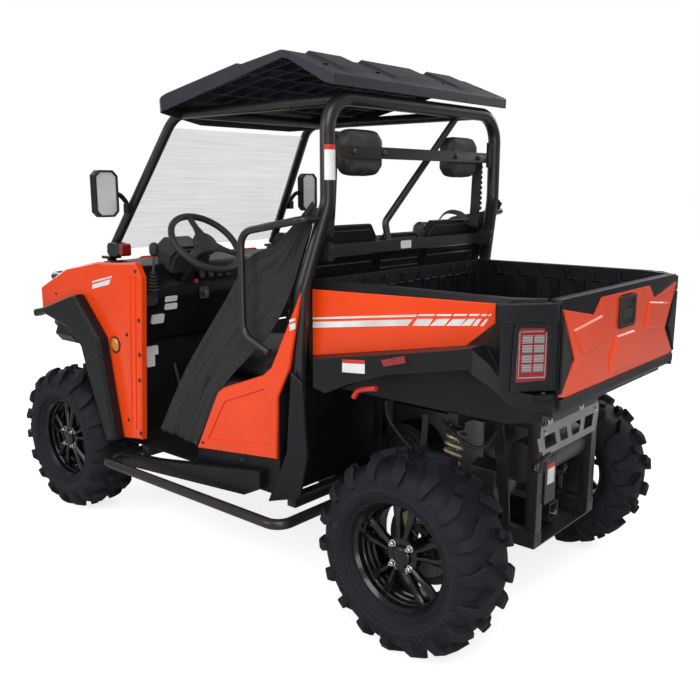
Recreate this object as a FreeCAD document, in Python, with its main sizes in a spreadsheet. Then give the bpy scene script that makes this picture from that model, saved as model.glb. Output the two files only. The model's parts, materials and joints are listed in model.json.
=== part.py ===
import FreeCAD, Part
import math
import os

V = FreeCAD.Vector

# Driving sizes, in millimetres and degrees
SIZES = {
    "wheelbase": 1906.0,
    "front_overhang": 494.0,
    "rear_overhang": 430.0,
    "tyre_radius": 330.0,
    "front_tyre_width": 230.0,
    "rear_tyre_width": 250.0,
    "front_wheel_x": 560.0,
    "rear_wheel_x": 550.0,
    "tyre_shoulder": 40.0,
    "tyre_wall": 16.0,
    "tyre_crown_drop": 8.0,
    "rim_flange_radius": 184.0,
    "rim_barrel_radius": 172.0,
    "rim_barrel_wall": 8.0,
    "rim_width": 172.0,
    "rim_face_inset": 26.0,
    "rim_disc_thickness": 14.0,
    "rim_hub_radius": 58.0,
    "rim_cap_radius": 32.0,
    "rim_cap_height": 6.0,
    "rim_spoke_count": 5.0,
    "rim_spoke_width": 34.0,
    "seat_clearance": 0.3,
    "moving_clearance": 6.0,
    "kingpin_x": 478.0,
    "knuckle_width": 56.0,
    "knuckle_height": 170.0,
    "knuckle_depth": 60.0,
    "kingpin_radius": 10.0,
    "kingpin_neck": 15.0,
    "spindle_radius": 22.0,
    "frame_tube": 50.0,
    "frame_half_width": 225.0,
    "frame_front_half_width": 200.0,
    "belly_height": 290.0,
    "belly_plate": 5.0,
    "outrigger_tube": 40.0,
    "sill_half_width": 569.0,
    "deck_rail_height": 735.0,
    "deck_tube": 40.0,
    "floor_wall": 6.0,
    "floor_half_width": 565.0,
    "footwell_front_fore": 381.0,
    "footwell_top": 800.0,
    "seat_box_front_aft": -1005.0,
    "seat_box_back_aft": -549.0,
    "seat_box_top": 760.0,
    "seat_box_half_width": 598.0,
    "cushion_thickness": 110.0,
    "cushion_side_width": 400.0,
    "cushion_middle_width": 230.0,
    "backrest_side_width": 362.0,
    "backrest_middle_width": 190.0,
    "seat_back_thickness": 95.0,
    "seat_back_height": 584.0,
    "seat_back_lean": 9.0,
    "cushion_corner": 30.0,
    "hoop_tube_radius": 25.0,
    "hoop_half_width": 517.0,
    "hoop_foot_half_width": 572.0,
    "hoop_top_aft": -388.0,
    "hoop_foot_aft": -452.0,
    "hoop_top_height": 1748.0,
    "hoop_bend_height": 1415.0,
    "hoop_foot_height": 1130.0,
    "hoop_bend": 110.0,
    "pillar_tube_radius": 20.0,
    "pillar_foot_x": 487.0,
    "pillar_foot_fore": 218.0,
    "pillar_foot_height": 1180.0,
    "pillar_top_x": 392.0,
    "pillar_top_fore": 576.0,
    "pillar_top_height": 1748.0,
    "roof_rail_bend": 120.0,
    "windscreen_bar_fore": 671.0,
    "cowl_tube_radius": 20.0,
    "cowl_plate": 60.0,
    "cowl_plate_thickness": 6.0,
    "roof_half_width": 545.0,
    "roof_wall": 8.0,
    "roof_foot_length": 40.0,
    "roof_foot_width": 30.0,
    "roof_foot_front_fore": 751.0,
    "roof_foot_rear_aft": -565.0,
    "windshield_thickness": 4.0,
    "steering_wheel_x": 290.0,
    "steering_wheel_fore": 618.0,
    "steering_wheel_height": 1231.0,
    "steering_wheel_tilt": 46.0,
    "steering_wheel_radius": 154.0,
    "steering_grip_radius": 14.0,
    "bed_front_aft": -470.0,
    "bed_rear_aft": 378.0,
    "bed_half_width": 534.0,
    "bed_chamfer_aft": 305.0,
    "tailgate_half_width": 448.0,
    "bed_rail_height": 1158.0,
    "bed_floor_height": 850.0,
    "bed_bottom_height": 800.0,
    "bed_wall": 36.0,
    "bed_pivot_aft": 210.0,
    "bed_pivot_height": 760.0,
    "bed_pivot_radius": 12.0,
    "bed_pivot_half_length": 262.0,
    "bed_lug_wall": 12.0,
    "bed_lug_x": 240.0,
    "bed_lug_radius": 26.0,
    "tailgate_thickness": 34.0,
    "tailgate_pivot_height": 838.0,
    "step_bar_radius": 19.0,
    "step_bar_x": 700.0,
    "step_bar_height": 325.0,
    "bumper_tube_radius": 21.0,
    "bumper_half_width": 380.0,
    "arm_radius": 15.0,
    "arm_spread": 110.0,
    "shock_top_x": 300.0,
    "shock_foot_x": 385.0,
    "shock_rod_radius": 14.0,
    "shock_spring_radius": 34.0,
    "shock_spring_start": 60.0,
    "frame_front_fore": -259.0,
    "frame_length": 2420.0,
    "deck_rear_aft": 255.0,
    "hoop_base_half_width": 552.0,
    "hoop_base_aft": -524.0,
    "hoop_base_height": 383.0,
    "hoop_rail_aft": -446.0,
    "hoop_rail_depth": 24.0,
    "hoop_rail_low": 1230.0,
    "hoop_rail_height": 40.0,
    "brace_top_x": -262.0,
    "brace_low_x": 115.0,
    "brace_low_aft": -465.0,
    "brace_low_height": 1335.0,
    "brace_radius": 13.0,
    "brace_bend": 30.0,
    "headrest_bar_thickness": 6.0,
    "headrest_bar_height": 40.0,
    "headrest_height": 1578.0,
    "headrest_x": 310.0,
    "headrest_width": 210.0,
    "headrest_size": 158.0,
    "headrest_thickness": 70.0,
    "roof_front_fore": 576.0,
    "roof_length": 985.0,
    "roof_low_height": 1740.0,
    "roof_rise": 175.0,
    "dash_front_fore": 241.0,
    "dash_depth": 240.0,
    "dash_low": 810.0,
    "dash_height": 345.0,
    "steering_hub_depth": 40.0,
    "steering_shaft_radius": 12.0,
    "steering_shaft_length": 40.0,
    "steering_hub_radius": 34.0,
    "steering_spoke_radius": 9.0,
    "steering_column_length": 250.0,
    "column_radius": 20.0,
    "seat_gap": 20.0,
    "cushion_nose": 30.0,
    "hood_front_fore": -379.0,
    "hood_low": 825.0,
    "hood_height": 335.0,
    "hood_half_width": 430.0,
    "fender_front_fore": -199.0,
    "fender_length": 760.0,
    "fender_low": 352.0,
    "fender_height": 813.0,
    "fender_half_width": 600.0,
    "flare_width": 50.0,
    "fender_wall": 30.0,
    "fascia_front_fore": -409.0,
    "fascia_low": 420.0,
    "fascia_half_width": 265.0,
    "seat_panel_front_aft": -995.0,
    "seat_panel_length": 522.0,
    "seat_panel_low": 453.0,
    "seat_panel_height": 658.0,
    "panel_wall": 12.0,
    "rear_panel_front_aft": -605.0,
    "rear_panel_length": 200.0,
    "rear_panel_low": 350.0,
    "rear_panel_height": 520.0,
    "sill_front_fore": 431.0,
    "sill_length": 860.0,
    "sill_low": 300.0,
    "sill_height": 170.0,
    "sill_width": 40.0,
    "step_bar_front_fore": 394.0,
    "step_bar_rear_aft": -455.0,
    "bumper_top_height": 1025.0,
    "bumper_low_height": 795.0,
    "bumper_back_fore": -199.0,
    "bumper_upright_x": 200.0,
    "bumper_foot_height": 315.0,
    "side_hoop_top": 1361.0,
    "side_hoop_front_aft": -695.0,
    "side_hoop_drop": 50.0,
    "side_hoop_low": 958.0,
    "side_hoop_foot_aft": -565.0,
    "side_hoop_radius": 13.0,
    "side_hoop_bend": 60.0,
    "side_hoop_clamp": 28.9,
    "mirror_x": 600.0,
    "mirror_height": 1435.0,
    "mirror_arm_height": 1400.0,
    "mirror_width": 110.0,
    "mirror_thickness": 40.0,
    "mirror_size": 190.0,
    "mirror_arm_radius": 8.0,
    "engine_width": 330.0,
    "engine_length": 400.0,
    "engine_height": 330.0,
    "engine_aft": -385.0,
    "belt_case_aft": -255.0,
    "belt_case_height": 520.0,
    "belt_case_x": 255.0,
    "belt_case_radius": 110.0,
    "muffler_aft": 165.0,
    "muffler_height": 560.0,
    "muffler_radius": 70.0,
    "receiver_outer": 63.5,
    "receiver_inner": 51.0,
    "receiver_length": 191.7,
    "receiver_aft": 210.0,
    "receiver_height": 345.0,
    "receiver_pin_setback": 45.0,
    "receiver_pin_radius": 8.0,
    "guard_width": 440.0,
    "guard_thickness": 4.0,
    "guard_height": 95.0,
    "guard_low": 603.0,
    "bed_skin": 8.0,
    "bed_skin_low": 898.0,
    "bed_rail_band": 32.0,
    "rear_fender_x": 640.0,
    "rear_fender_front_aft": -425.0,
    "rear_fender_aft": 415.0,
    "rear_fender_low": 880.0,
    "rear_fender_height": 115.0,
    "tail_lamp_low": 930.0,
    "tail_lamp_height": 155.0,
    "tailgate_low": 826.0,
    "tailgate_pin_radius": 8.0,
    "tailgate_pin_depth": 20.0,
    "tailgate_ear": 16.0,
    "tailgate_border": 24.0,
    "tailgate_skin": 12.0,
}

# Outlines in side view, as shares of each piece's own box: (along, up)
CROSS_TUBE_SHARES = (0.0, 0.26, 0.36, 0.5, 0.66, 0.8, 0.9)
OUTRIGGER_SHARES = (0.31, 0.48, 0.67)
ROOF_TOP_SHARES = ((0.0, 0.24), (0.12, 0.4), (0.53, 0.84), (0.79, 1.0), (1.0, 0.42))
ROOF_EDGE_SHARES = ((0.0, 0.0), (0.12, 0.02), (0.53, 0.48), (0.77, 0.74), (0.82, 0.72), (1.0, 0.2))
DASH_SHARES = ((0.0, 0.0), (0.7, 0.0), (1.0, 0.55), (0.9, 0.95), (0.2, 1.0), (0.0, 0.9))
HOOD_SHARES = ((0.0, 0.0), (0.12, 0.0), (0.12, 0.2), (1.0, 0.9), (1.0, 1.0), (0.5, 0.72), (0.0, 0.2))
FENDER_SHARES = ((0.0, 0.66), (0.0, 0.76), (0.2, 0.83), (0.55, 0.98), (0.6, 0.99), (1.0, 1.0),
                 (1.0, 0.03), (0.76, 0.0), (0.72, 0.5), (0.55, 0.62), (0.3, 0.66))
FENDER_TOP_SHARES = ((0.0, 0.76), (0.2, 0.83), (0.48, 0.95))
FLARE_SHARES = ((0.0, 0.64), (0.0, 0.69), (0.1, 0.75), (0.42, 0.81), (0.7, 0.6), (0.82, 0.03),
                (0.75, 0.0), (0.56, 0.46), (0.34, 0.6), (0.22, 0.64))
FASCIA_SHARES = ((0.0, 0.3), (0.0, 0.8), (0.3, 1.0), (1.0, 1.0), (1.0, 0.0), (0.5, 0.0))
SEAT_PANEL_SHARES = ((0.0, 0.0), (0.86, 0.1), (0.95, 0.53), (1.0, 1.0), (0.73, 0.68), (0.24, 0.41))
REAR_PANEL_SHARES = ((0.0, 0.0), (0.8, 0.1), (1.0, 0.4), (0.9, 1.0), (0.6, 1.0), (0.5, 0.4))
SILL_SHARES = ((0.0, 0.0), (0.9, 0.35), (1.0, 0.6), (1.0, 1.0), (0.3, 0.45), (0.0, 0.29))

doc = FreeCAD.newDocument("side_by_side")
sheet = doc.addObject("Spreadsheet::Sheet", "Sizes")
for row, (alias, number) in enumerate(SIZES.items(), start=1):
    sheet.set("A%d" % row, alias)
    sheet.set("B%d" % row, str(number))
    sheet.setAlias("B%d" % row, alias)
doc.recompute()


class Reader:
    """Reads a driving size from its cell."""

    def __getattr__(self, name):
        return float(sheet.get(name))


q = Reader()
NODES = {}
AXLES = {
    "front_axle": "(({front_overhang} - {rear_overhang} - {wheelbase}) / 2)",
    "rear_axle": "(({front_overhang} - {rear_overhang} + {wheelbase}) / 2)",
}


def ex(text):
    """Expression text in which each {name} stands for its cell and each axle for its place."""
    for word, meaning in AXLES.items():
        text = text.replace(word, meaning)
    return text.replace("{", "Sizes.").replace("}", "")


def keep(label, item):
    """Gives a sub-part its label and lists it for the files."""
    item.Label = label
    NODES[label] = item
    return item


def origin_plane(body, role):
    return [item for item in body.Origin.OriginFeatures if item.Role == role][0]


def rounded_corner(before, corner, after, radius):
    """Start, middle and end of the arc that rounds a corner."""
    first = (before - corner).normalize()
    second = (after - corner).normalize()
    half = first.getAngle(second) / 2
    reach = radius / math.tan(half)
    bisector = (first + second).normalize()
    centre = corner + bisector * (radius / math.sin(half))
    return corner + first * reach, centre - bisector * radius, corner + second * reach


def run_edges(points, radius, closed):
    """Line and arc geometry through the points with rounded corners."""
    count = len(points)
    radii = radius if isinstance(radius, (list, tuple)) else [radius] * count
    edges = []
    starts = []
    ends = []
    arcs = []
    for place in range(count):
        inner = closed or 0 < place < count - 1
        if inner and radii[place] > 0:
            arc = rounded_corner(points[place - 1], points[place], points[(place + 1) % count],
                                 radii[place])
            starts.append(arc[0])
            ends.append(arc[2])
            arcs.append(Part.Arc(*arc))
        else:
            starts.append(points[place])
            ends.append(points[place])
            arcs.append(None)
    last = count if closed else count - 1
    for place in range(last):
        if arcs[place]:
            edges.append(arcs[place])
        nearby = starts[(place + 1) % count]
        if ends[place].distanceToPoint(nearby) > q.seat_clearance * q.seat_clearance:
            edges.append(Part.LineSegment(ends[place], nearby))
    return edges


def outline(points, radius=0):
    """Closed outline in a sketch's own plane."""
    return run_edges([V(across, up, 0) for across, up in points], radius, True)


def sketch_on(body, name, role, edges, offset=None):
    made = body.newObject("Sketcher::SketchObject", name)
    made.AttachmentSupport = [(origin_plane(body, role), "")]
    made.MapMode = "FlatFace"
    if offset:
        made.setExpression("AttachmentOffset.Base.z", ex(offset))
    made.addGeometry(edges, False)
    return made


def pad(body, name, profile, length, both=False):
    made = body.newObject("PartDesign::Pad", name)
    made.Profile = profile
    made.setExpression("Length", ex(length))
    made.SideType = "Symmetric" if both else "One side"
    return made


def padded_body(label, role, edges, offset, length, both=False):
    """One body made by padding one outline."""
    body = doc.addObject("PartDesign::Body", label + "_body")
    profile = sketch_on(body, label + "_outline", role, edges, offset)
    pad(body, label + "_pad", profile, length, both)
    return body


def mirrored_pair(label, item):
    """A left piece with its right twin, as one node of two solids."""
    twin = doc.addObject("Part::Mirroring", label + "_twin")
    twin.Source = item
    twin.Normal = V(1, 0, 0)
    both = doc.addObject("Part::Compound", label)
    both.Links = [item, twin]
    return keep(label, both)


def box(name, size, place):
    """A Part box whose sizes and corner are expressions."""
    made = doc.addObject("Part::Box", name)
    for side, text in zip(("Length", "Width", "Height"), size):
        made.setExpression(side, ex(text))
    for side, text in zip("xyz", place):
        made.setExpression("Placement.Base." + side, ex(text))
    return made


def fuse(label, items):
    made = doc.addObject("Part::MultiFuse", label)
    made.Shapes = items
    return made


def tube(name, points, radius, bend):
    """A round tube along straight runs joined by bends."""
    path = [V(*point) for point in points]
    wire = Part.Wire([edge.toShape() for edge in run_edges(path, bend, False)])
    ring = Part.Wire([Part.Circle(path[0], path[1] - path[0], radius).toShape()])
    made = doc.addObject("Part::Feature", name)
    made.Shape = wire.makePipeShell([ring], True, True)
    return made


def mirror_x(points):
    return [(-across, along, up) for across, along, up in points]


# Levels and faces that several pieces share
FLOOR_LEVEL = "({belly_height} + {frame_tube} + {outrigger_tube} + {seat_clearance})"
SIDE_FACE = "({seat_box_half_width} + {seat_clearance})"
FRONT_AXLE = (q.front_overhang - q.rear_overhang - q.wheelbase) / 2
REAR_AXLE = FRONT_AXLE + q.wheelbase
FRONT_Y = FRONT_AXLE - q.front_overhang
FLOOR_HEIGHT = q.belly_height + q.frame_tube + q.outrigger_tube + q.seat_clearance
HOOD_BACK_Y = (FRONT_AXLE + q.dash_front_fore) - q.seat_clearance
SIDE_HOOP_X = (q.seat_box_half_width + q.panel_wall + q.seat_clearance * 2
               + q.side_hoop_radius)


# Wheels

def wheel_revolution(label, points, radius, centre_x, axle_y):
    """A ring of revolution about the axle, from (along the axle, radius) points."""
    body = doc.addObject("PartDesign::Body", label + "_body")
    profile = sketch_on(body, label + "_section", "XZ_Plane", outline(points, radius))
    made = body.newObject("PartDesign::Revolution", label + "_turn")
    made.Profile = profile
    made.ReferenceAxis = (profile, ["H_Axis"])
    made.Angle = 360
    body.Placement.Base = V(centre_x, axle_y, q.tyre_radius)
    return body


def tyre(label, centre_x, axle_y, width):
    half = width / 2
    crown = q.tyre_radius - q.tyre_crown_drop
    bead = q.rim_barrel_radius + q.seat_clearance
    lip = q.rim_flange_radius + q.seat_clearance
    foot = q.rim_width / 2 - q.rim_barrel_wall - q.seat_clearance
    section = [
        (-foot, bead),
        (-foot, lip),
        (-half + q.tyre_shoulder / 2, q.rim_flange_radius + q.rim_barrel_wall),
        (-half, (q.rim_flange_radius + q.tyre_radius) / 2),
        (-half, crown - q.tyre_shoulder),
        (-half + q.tyre_shoulder, crown),
        (0, q.tyre_radius),
        (half - q.tyre_shoulder, crown),
        (half, crown - q.tyre_shoulder),
        (half, (q.rim_flange_radius + q.tyre_radius) / 2),
        (half - q.tyre_shoulder / 2, q.rim_flange_radius + q.rim_barrel_wall),
        (foot, lip),
        (foot, bead),
        (foot - q.tyre_wall, bead),
        (foot - q.tyre_wall, lip + q.tyre_wall),
        (half - q.tyre_wall, (q.rim_flange_radius + q.tyre_radius) / 2),
        (half - q.tyre_shoulder, crown - q.tyre_wall),
        (-half + q.tyre_shoulder, crown - q.tyre_wall),
        (-half + q.tyre_wall, (q.rim_flange_radius + q.tyre_radius) / 2),
        (-foot + q.tyre_wall, lip + q.tyre_wall),
        (-foot + q.tyre_wall, bead),
    ]
    return keep(label, wheel_revolution(label, section, 0, centre_x, axle_y))


def rim(label, side, centre_x, axle_y):
    """Alloy rim: a barrel with flanges and a spoked face toward the outside."""
    half = q.rim_width / 2
    inner = q.rim_barrel_radius - q.rim_barrel_wall
    barrel = [
        (-half, inner),
        (half, inner),
        (half, q.rim_flange_radius),
        (half - q.rim_barrel_wall, q.rim_flange_radius),
        (half - q.rim_barrel_wall, q.rim_barrel_radius),
        (-half + q.rim_barrel_wall, q.rim_barrel_radius),
        (-half + q.rim_barrel_wall, q.rim_flange_radius),
        (-half, q.rim_flange_radius),
    ]
    body = doc.addObject("PartDesign::Body", label + "_body")
    profile = sketch_on(body, label + "_section", "XZ_Plane", outline(barrel))
    turn = body.newObject("PartDesign::Revolution", label + "_turn")
    turn.Profile = profile
    turn.ReferenceAxis = (profile, ["H_Axis"])
    turn.Angle = 360
    disc = sketch_on(body, label + "_hub_section", "YZ_Plane",
                     [Part.Circle(V(0, 0, 0), V(0, 0, 1), q.rim_hub_radius),
                      Part.Circle(V(0, 0, 0), V(0, 0, 1),
                                  q.spindle_radius + q.seat_clearance)],
                     "{rim_width} / 2 - {rim_face_inset}")
    pad(body, label + "_hub", disc, "{rim_disc_thickness}")
    cap = sketch_on(body, label + "_cap_section", "YZ_Plane",
                    [Part.Circle(V(0, 0, 0), V(0, 0, 1), q.rim_cap_radius)],
                    "{rim_width} / 2 - {rim_face_inset} + {rim_disc_thickness}")
    pad(body, label + "_cap", cap, "{rim_cap_height}")
    count = int(q.rim_spoke_count)
    width = q.rim_spoke_width / 2
    for place in range(count):
        turn_by = math.radians(360 / count * place + 90)
        out = V(math.cos(turn_by), math.sin(turn_by), 0)
        side_way = V(-out.y, out.x, 0)
        root = q.rim_hub_radius - q.rim_disc_thickness
        tip = q.rim_barrel_radius - q.rim_barrel_wall / 2
        corners = [out * root - side_way * width, out * tip - side_way * width,
                   out * tip + side_way * width, out * root + side_way * width]
        spoke = sketch_on(body, "%s_spoke_%d_outline" % (label, place), "YZ_Plane",
                          run_edges(corners, 0, True), "{rim_width} / 2 - {rim_face_inset}")
        pad(body, "%s_spoke_%d" % (label, place), spoke, "{rim_disc_thickness}")
    turned = FreeCAD.Rotation(V(0, 0, 1), 0 if side > 0 else 180)
    body.Placement = FreeCAD.Placement(V(centre_x, axle_y, q.tyre_radius), turned)
    return keep(label, body)


def wheels():
    for side, hand in ((1, "left"), (-1, "right")):
        tyre("front_tyre_" + hand, side * q.front_wheel_x, FRONT_AXLE, q.front_tyre_width)
        rim("front_rim_" + hand, side, side * q.front_wheel_x, FRONT_AXLE)
        tyre("rear_tyre_" + hand, side * q.rear_wheel_x, REAR_AXLE, q.rear_tyre_width)
        rim("rear_rim_" + hand, side, side * q.rear_wheel_x, REAR_AXLE)


wheels()


# Running gear

def knuckle(label, side):
    """Steered upright with its wheel spindle."""
    body = doc.addObject("PartDesign::Body", label + "_body")
    profile = sketch_on(body, label + "_outline", "XY_Plane",
                        [Part.Circle(V(0, 0, 0), V(0, 0, 1), q.kingpin_radius)],
                        "-{knuckle_height} / 2")
    pad(body, label + "_kingpin", profile, "{knuckle_height}")
    upright = sketch_on(body, label + "_upright_outline", "XY_Plane",
                        [Part.Circle(V(0, 0, 0), V(0, 0, 1), q.knuckle_width / 2)],
                        "-{knuckle_height} / 2 + {kingpin_neck}")
    pad(body, label + "_upright", upright, "{knuckle_height} - {kingpin_neck} * 2")
    spindle = sketch_on(body, label + "_spindle_outline", "YZ_Plane",
                        [Part.Circle(V(0, 0, 0), V(0, 0, 1), q.spindle_radius)])
    pad(body, label + "_spindle", spindle,
        "{front_wheel_x} - {kingpin_x} + {rim_width} / 2 - {rim_face_inset}"
        " + {rim_disc_thickness} / 2")
    turned = FreeCAD.Rotation(V(0, 0, 1), 0 if side > 0 else 180)
    body.Placement = FreeCAD.Placement(V(side * q.kingpin_x, FRONT_AXLE, q.tyre_radius), turned)
    keep(label, body)


def rod(name, start, end, radius):
    """A round bar between two points."""
    made = doc.addObject("Part::Cylinder", name)
    made.setExpression("Radius", ex(radius))
    made.Height = (end - start).Length
    made.Placement = FreeCAD.Placement(start, FreeCAD.Rotation(V(0, 0, 1), end - start))
    return made


def wishbone(name, axle_y, outer, inner, drop):
    """Two round legs of a left arm from its outer joint to the frame, with an upright eye."""
    pieces = []
    for way in (-1, 1):
        start = V(outer.x, axle_y + way * q.arm_radius / 2, outer.z + drop)
        end = V(inner.x, axle_y + way * q.arm_spread, inner.z)
        pieces.append(rod("%s_leg_%s" % (name, "rear" if way > 0 else "front"), start, end,
                          "{arm_radius}"))
    return pieces


def arm_posts(name, axle_y, inner_x, low, high):
    """Upright pins that carry both arms of one side on the frame."""
    return [rod("%s_post_%d" % (name, way + 1), V(inner_x, axle_y + way * q.arm_spread, low),
                V(inner_x, axle_y + way * q.arm_spread, high), "{arm_radius}")
            for way in (-1, 1)]


def shock_seat(name, axle_y, foot):
    """Plate across the upper arm's legs, just under the shock's foot."""
    half = q.shock_rod_radius + q.seat_clearance
    top = foot.z - q.shock_rod_radius * math.sin(shock_lean(foot)) - q.seat_clearance
    made = doc.addObject("Part::Box", name)
    made.setExpression("Length", ex("{shock_rod_radius} * 2"))
    made.setExpression("Width", ex("{arm_spread}"))
    made.setExpression("Height", ex("{arm_radius} * 2"))
    made.Placement.Base = V(foot.x - half, axle_y - q.arm_spread / 2, top - q.arm_radius * 2)
    return made


def shock_lean(foot):
    """Angle of a shock from upright, for the top that goes with its foot."""
    top_x = q.shock_top_x
    return math.atan2(foot.x - top_x, q.deck_rail_height - q.deck_tube - foot.z)


LOW_PIVOT = q.belly_height + q.frame_tube / 2
HIGH_PIVOT = q.belly_height + q.frame_tube * 2
ARM_REACH = q.knuckle_height / 2 + q.arm_radius + q.seat_clearance
SHOCK_FOOT = V(q.shock_foot_x, 0, q.tyre_radius + ARM_REACH + q.arm_radius)


def front_arms():
    inner_x = q.frame_front_half_width + q.frame_tube / 2 + q.arm_radius + q.seat_clearance
    pieces = arm_posts("front_arm", FRONT_AXLE, inner_x, LOW_PIVOT, HIGH_PIVOT)
    for name, way, pivot in (("low", -1, LOW_PIVOT), ("high", 1, HIGH_PIVOT)):
        outer = V(q.kingpin_x, 0, q.tyre_radius + way * ARM_REACH)
        pieces += wishbone("front_%s_arm" % name, FRONT_AXLE, outer, V(inner_x, 0, pivot),
                           way * q.arm_radius / 2)
        foot = V(outer.x, FRONT_AXLE, outer.z - q.arm_radius)
        pieces.append(rod("front_%s_eye" % name, foot, foot + V(0, 0, 2 * q.arm_radius),
                          "{arm_radius} * 1.5"))
    pieces.append(shock_seat("front_shock_seat", FRONT_AXLE, SHOCK_FOOT))
    mirrored_pair("front_arms", fuse("front_arm_left", pieces))


def rear_arms():
    """Rear arms with the fixed carrier and spindle of each wheel."""
    carrier_x = q.rear_wheel_x - q.rim_width / 2 - q.knuckle_width / 2
    inner_x = q.frame_front_half_width + q.frame_tube / 2 + q.arm_radius + q.seat_clearance
    pieces = arm_posts("rear_arm", REAR_AXLE, inner_x, LOW_PIVOT, HIGH_PIVOT)
    for name, way, pivot in (("low", -1, LOW_PIVOT), ("high", 1, HIGH_PIVOT)):
        outer = V(carrier_x, 0, q.tyre_radius + way * (ARM_REACH - q.arm_radius * 2))
        pieces += wishbone("rear_%s_arm" % name, REAR_AXLE, outer, V(inner_x, 0, pivot), 0)
    pieces.append(box("rear_carrier", ("{knuckle_width}", "{knuckle_depth}", "{knuckle_height}"),
                      ("{rear_wheel_x} - {rim_width} / 2 - {knuckle_width}",
                       "rear_axle - {knuckle_depth} / 2",
                       "{tyre_radius} - {knuckle_height} / 2")))
    spindle_end = q.rear_wheel_x + q.rim_width / 2 - q.rim_face_inset + q.rim_disc_thickness / 2
    pieces.append(rod("rear_spindle", V(carrier_x, REAR_AXLE, q.tyre_radius),
                      V(spindle_end, REAR_AXLE, q.tyre_radius), "{spindle_radius}"))
    pieces.append(shock_seat("rear_shock_seat", REAR_AXLE, SHOCK_FOOT))
    mirrored_pair("rear_arms", fuse("rear_arm_left", pieces))


def shocks():
    """Dampers in their springs, from the upper arms to the frame's cross tubes."""
    sides = []
    for name, axle_y in (("front", FRONT_AXLE), ("rear", REAR_AXLE)):
        foot = SHOCK_FOOT + V(0, axle_y, 0)
        lean = shock_lean(SHOCK_FOOT)
        drop = q.shock_rod_radius * math.sin(lean) + q.seat_clearance
        top = V(q.shock_top_x, axle_y, q.deck_rail_height - q.deck_tube - drop)
        along = (top - foot).normalize()
        damper = rod(name + "_damper", foot, top, "{shock_rod_radius}")
        coil = rod(name + "_spring", foot + along * q.shock_spring_start,
                   top - along * q.shock_spring_start, "{shock_spring_radius}")
        one = fuse(name + "_shock_left", [damper, coil])
        twin = doc.addObject("Part::Mirroring", name + "_shock_right")
        twin.Source = one
        twin.Normal = V(1, 0, 0)
        sides += [one, twin]
    group = doc.addObject("Part::Compound", "shocks")
    group.Links = sides
    keep("shocks", group)


# Frame

REAR_CROSS_Y = "rear_axle - {deck_tube} / 2"
FRONT_CROSS_Y = "front_axle - {deck_tube} / 2"


def chassis():
    """Ladder of box tubes with outriggers, sill rails and a belly plate."""
    pieces = []
    for side in ("-1", "1"):
        pieces.append(box("rail" + side[-2:].replace("-", "_"),
                          ("{frame_tube}", "{frame_length}", "{frame_tube}"),
                          ("%s * {frame_front_half_width} - {frame_tube} / 2" % side,
                           "front_axle + {frame_front_fore}", "{belly_height}")))
    for place, share in enumerate(CROSS_TUBE_SHARES):
        pieces.append(box("cross_tube_%d" % place,
                          ("{frame_front_half_width} * 2", "{frame_tube}", "{frame_tube}"),
                          ("-{frame_front_half_width}",
                           "(front_axle + {frame_front_fore}) + {frame_length} * %s - {frame_tube} * %s"
                           % (share, share), "{belly_height}")))
    for place, share in enumerate(OUTRIGGER_SHARES):
        pieces.append(box("outrigger_%d" % place,
                          ("{sill_half_width} * 2", "{outrigger_tube}", "{outrigger_tube}"),
                          ("-{sill_half_width}", "(front_axle + {frame_front_fore}) + {frame_length} * %s" % share,
                           "{belly_height} + {frame_tube}")))
    pieces.append(box("belly_plate",
                      ("{frame_front_half_width} * 2", "{frame_length}", "{belly_plate}"),
                      ("-{frame_front_half_width}", "front_axle + {frame_front_fore}", "{belly_height}")))
    for side, name in (("-1", "right"), ("1", "left")):
        pieces.append(box("front_tower_" + name,
                          ("{deck_tube}", "{deck_tube}",
                           "{deck_rail_height} - {belly_height} - {frame_tube} / 2"),
                          ("%s * {frame_front_half_width} - {deck_tube} / 2" % side,
                           FRONT_CROSS_Y, "{belly_height} + {frame_tube} / 2")))
    pieces.append(shock_cross("front_shock_cross", FRONT_CROSS_Y))
    pieces += nose_frame() + cowl_struts()
    keep("chassis", fuse("chassis", pieces))


def nose_frame():
    """Uprights and a cross tube behind the front fascia."""
    pieces = [box("nose_cross", ("{frame_front_half_width} * 2", "{deck_tube}", "{deck_tube}"),
                  ("-{frame_front_half_width}", "front_axle + {frame_front_fore}",
                   "{deck_rail_height} - {deck_tube}"))]
    for side, name in (("-1", "right"), ("1", "left")):
        across = "%s * {frame_front_half_width} - {deck_tube} / 2" % side
        pieces.append(box("nose_post_" + name,
                          ("{deck_tube}", "{deck_tube}",
                           "{deck_rail_height} - {belly_height} - {frame_tube} / 2"),
                          (across, "front_axle + {frame_front_fore}", "{belly_height} + {frame_tube} / 2")))
    return pieces


def pillar_direction():
    foot = V(q.pillar_foot_x, FRONT_AXLE + q.pillar_foot_fore, q.pillar_foot_height)
    top = V(q.pillar_top_x, FRONT_AXLE + q.pillar_top_fore, q.pillar_top_height)
    return (top - foot).normalize()


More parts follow.
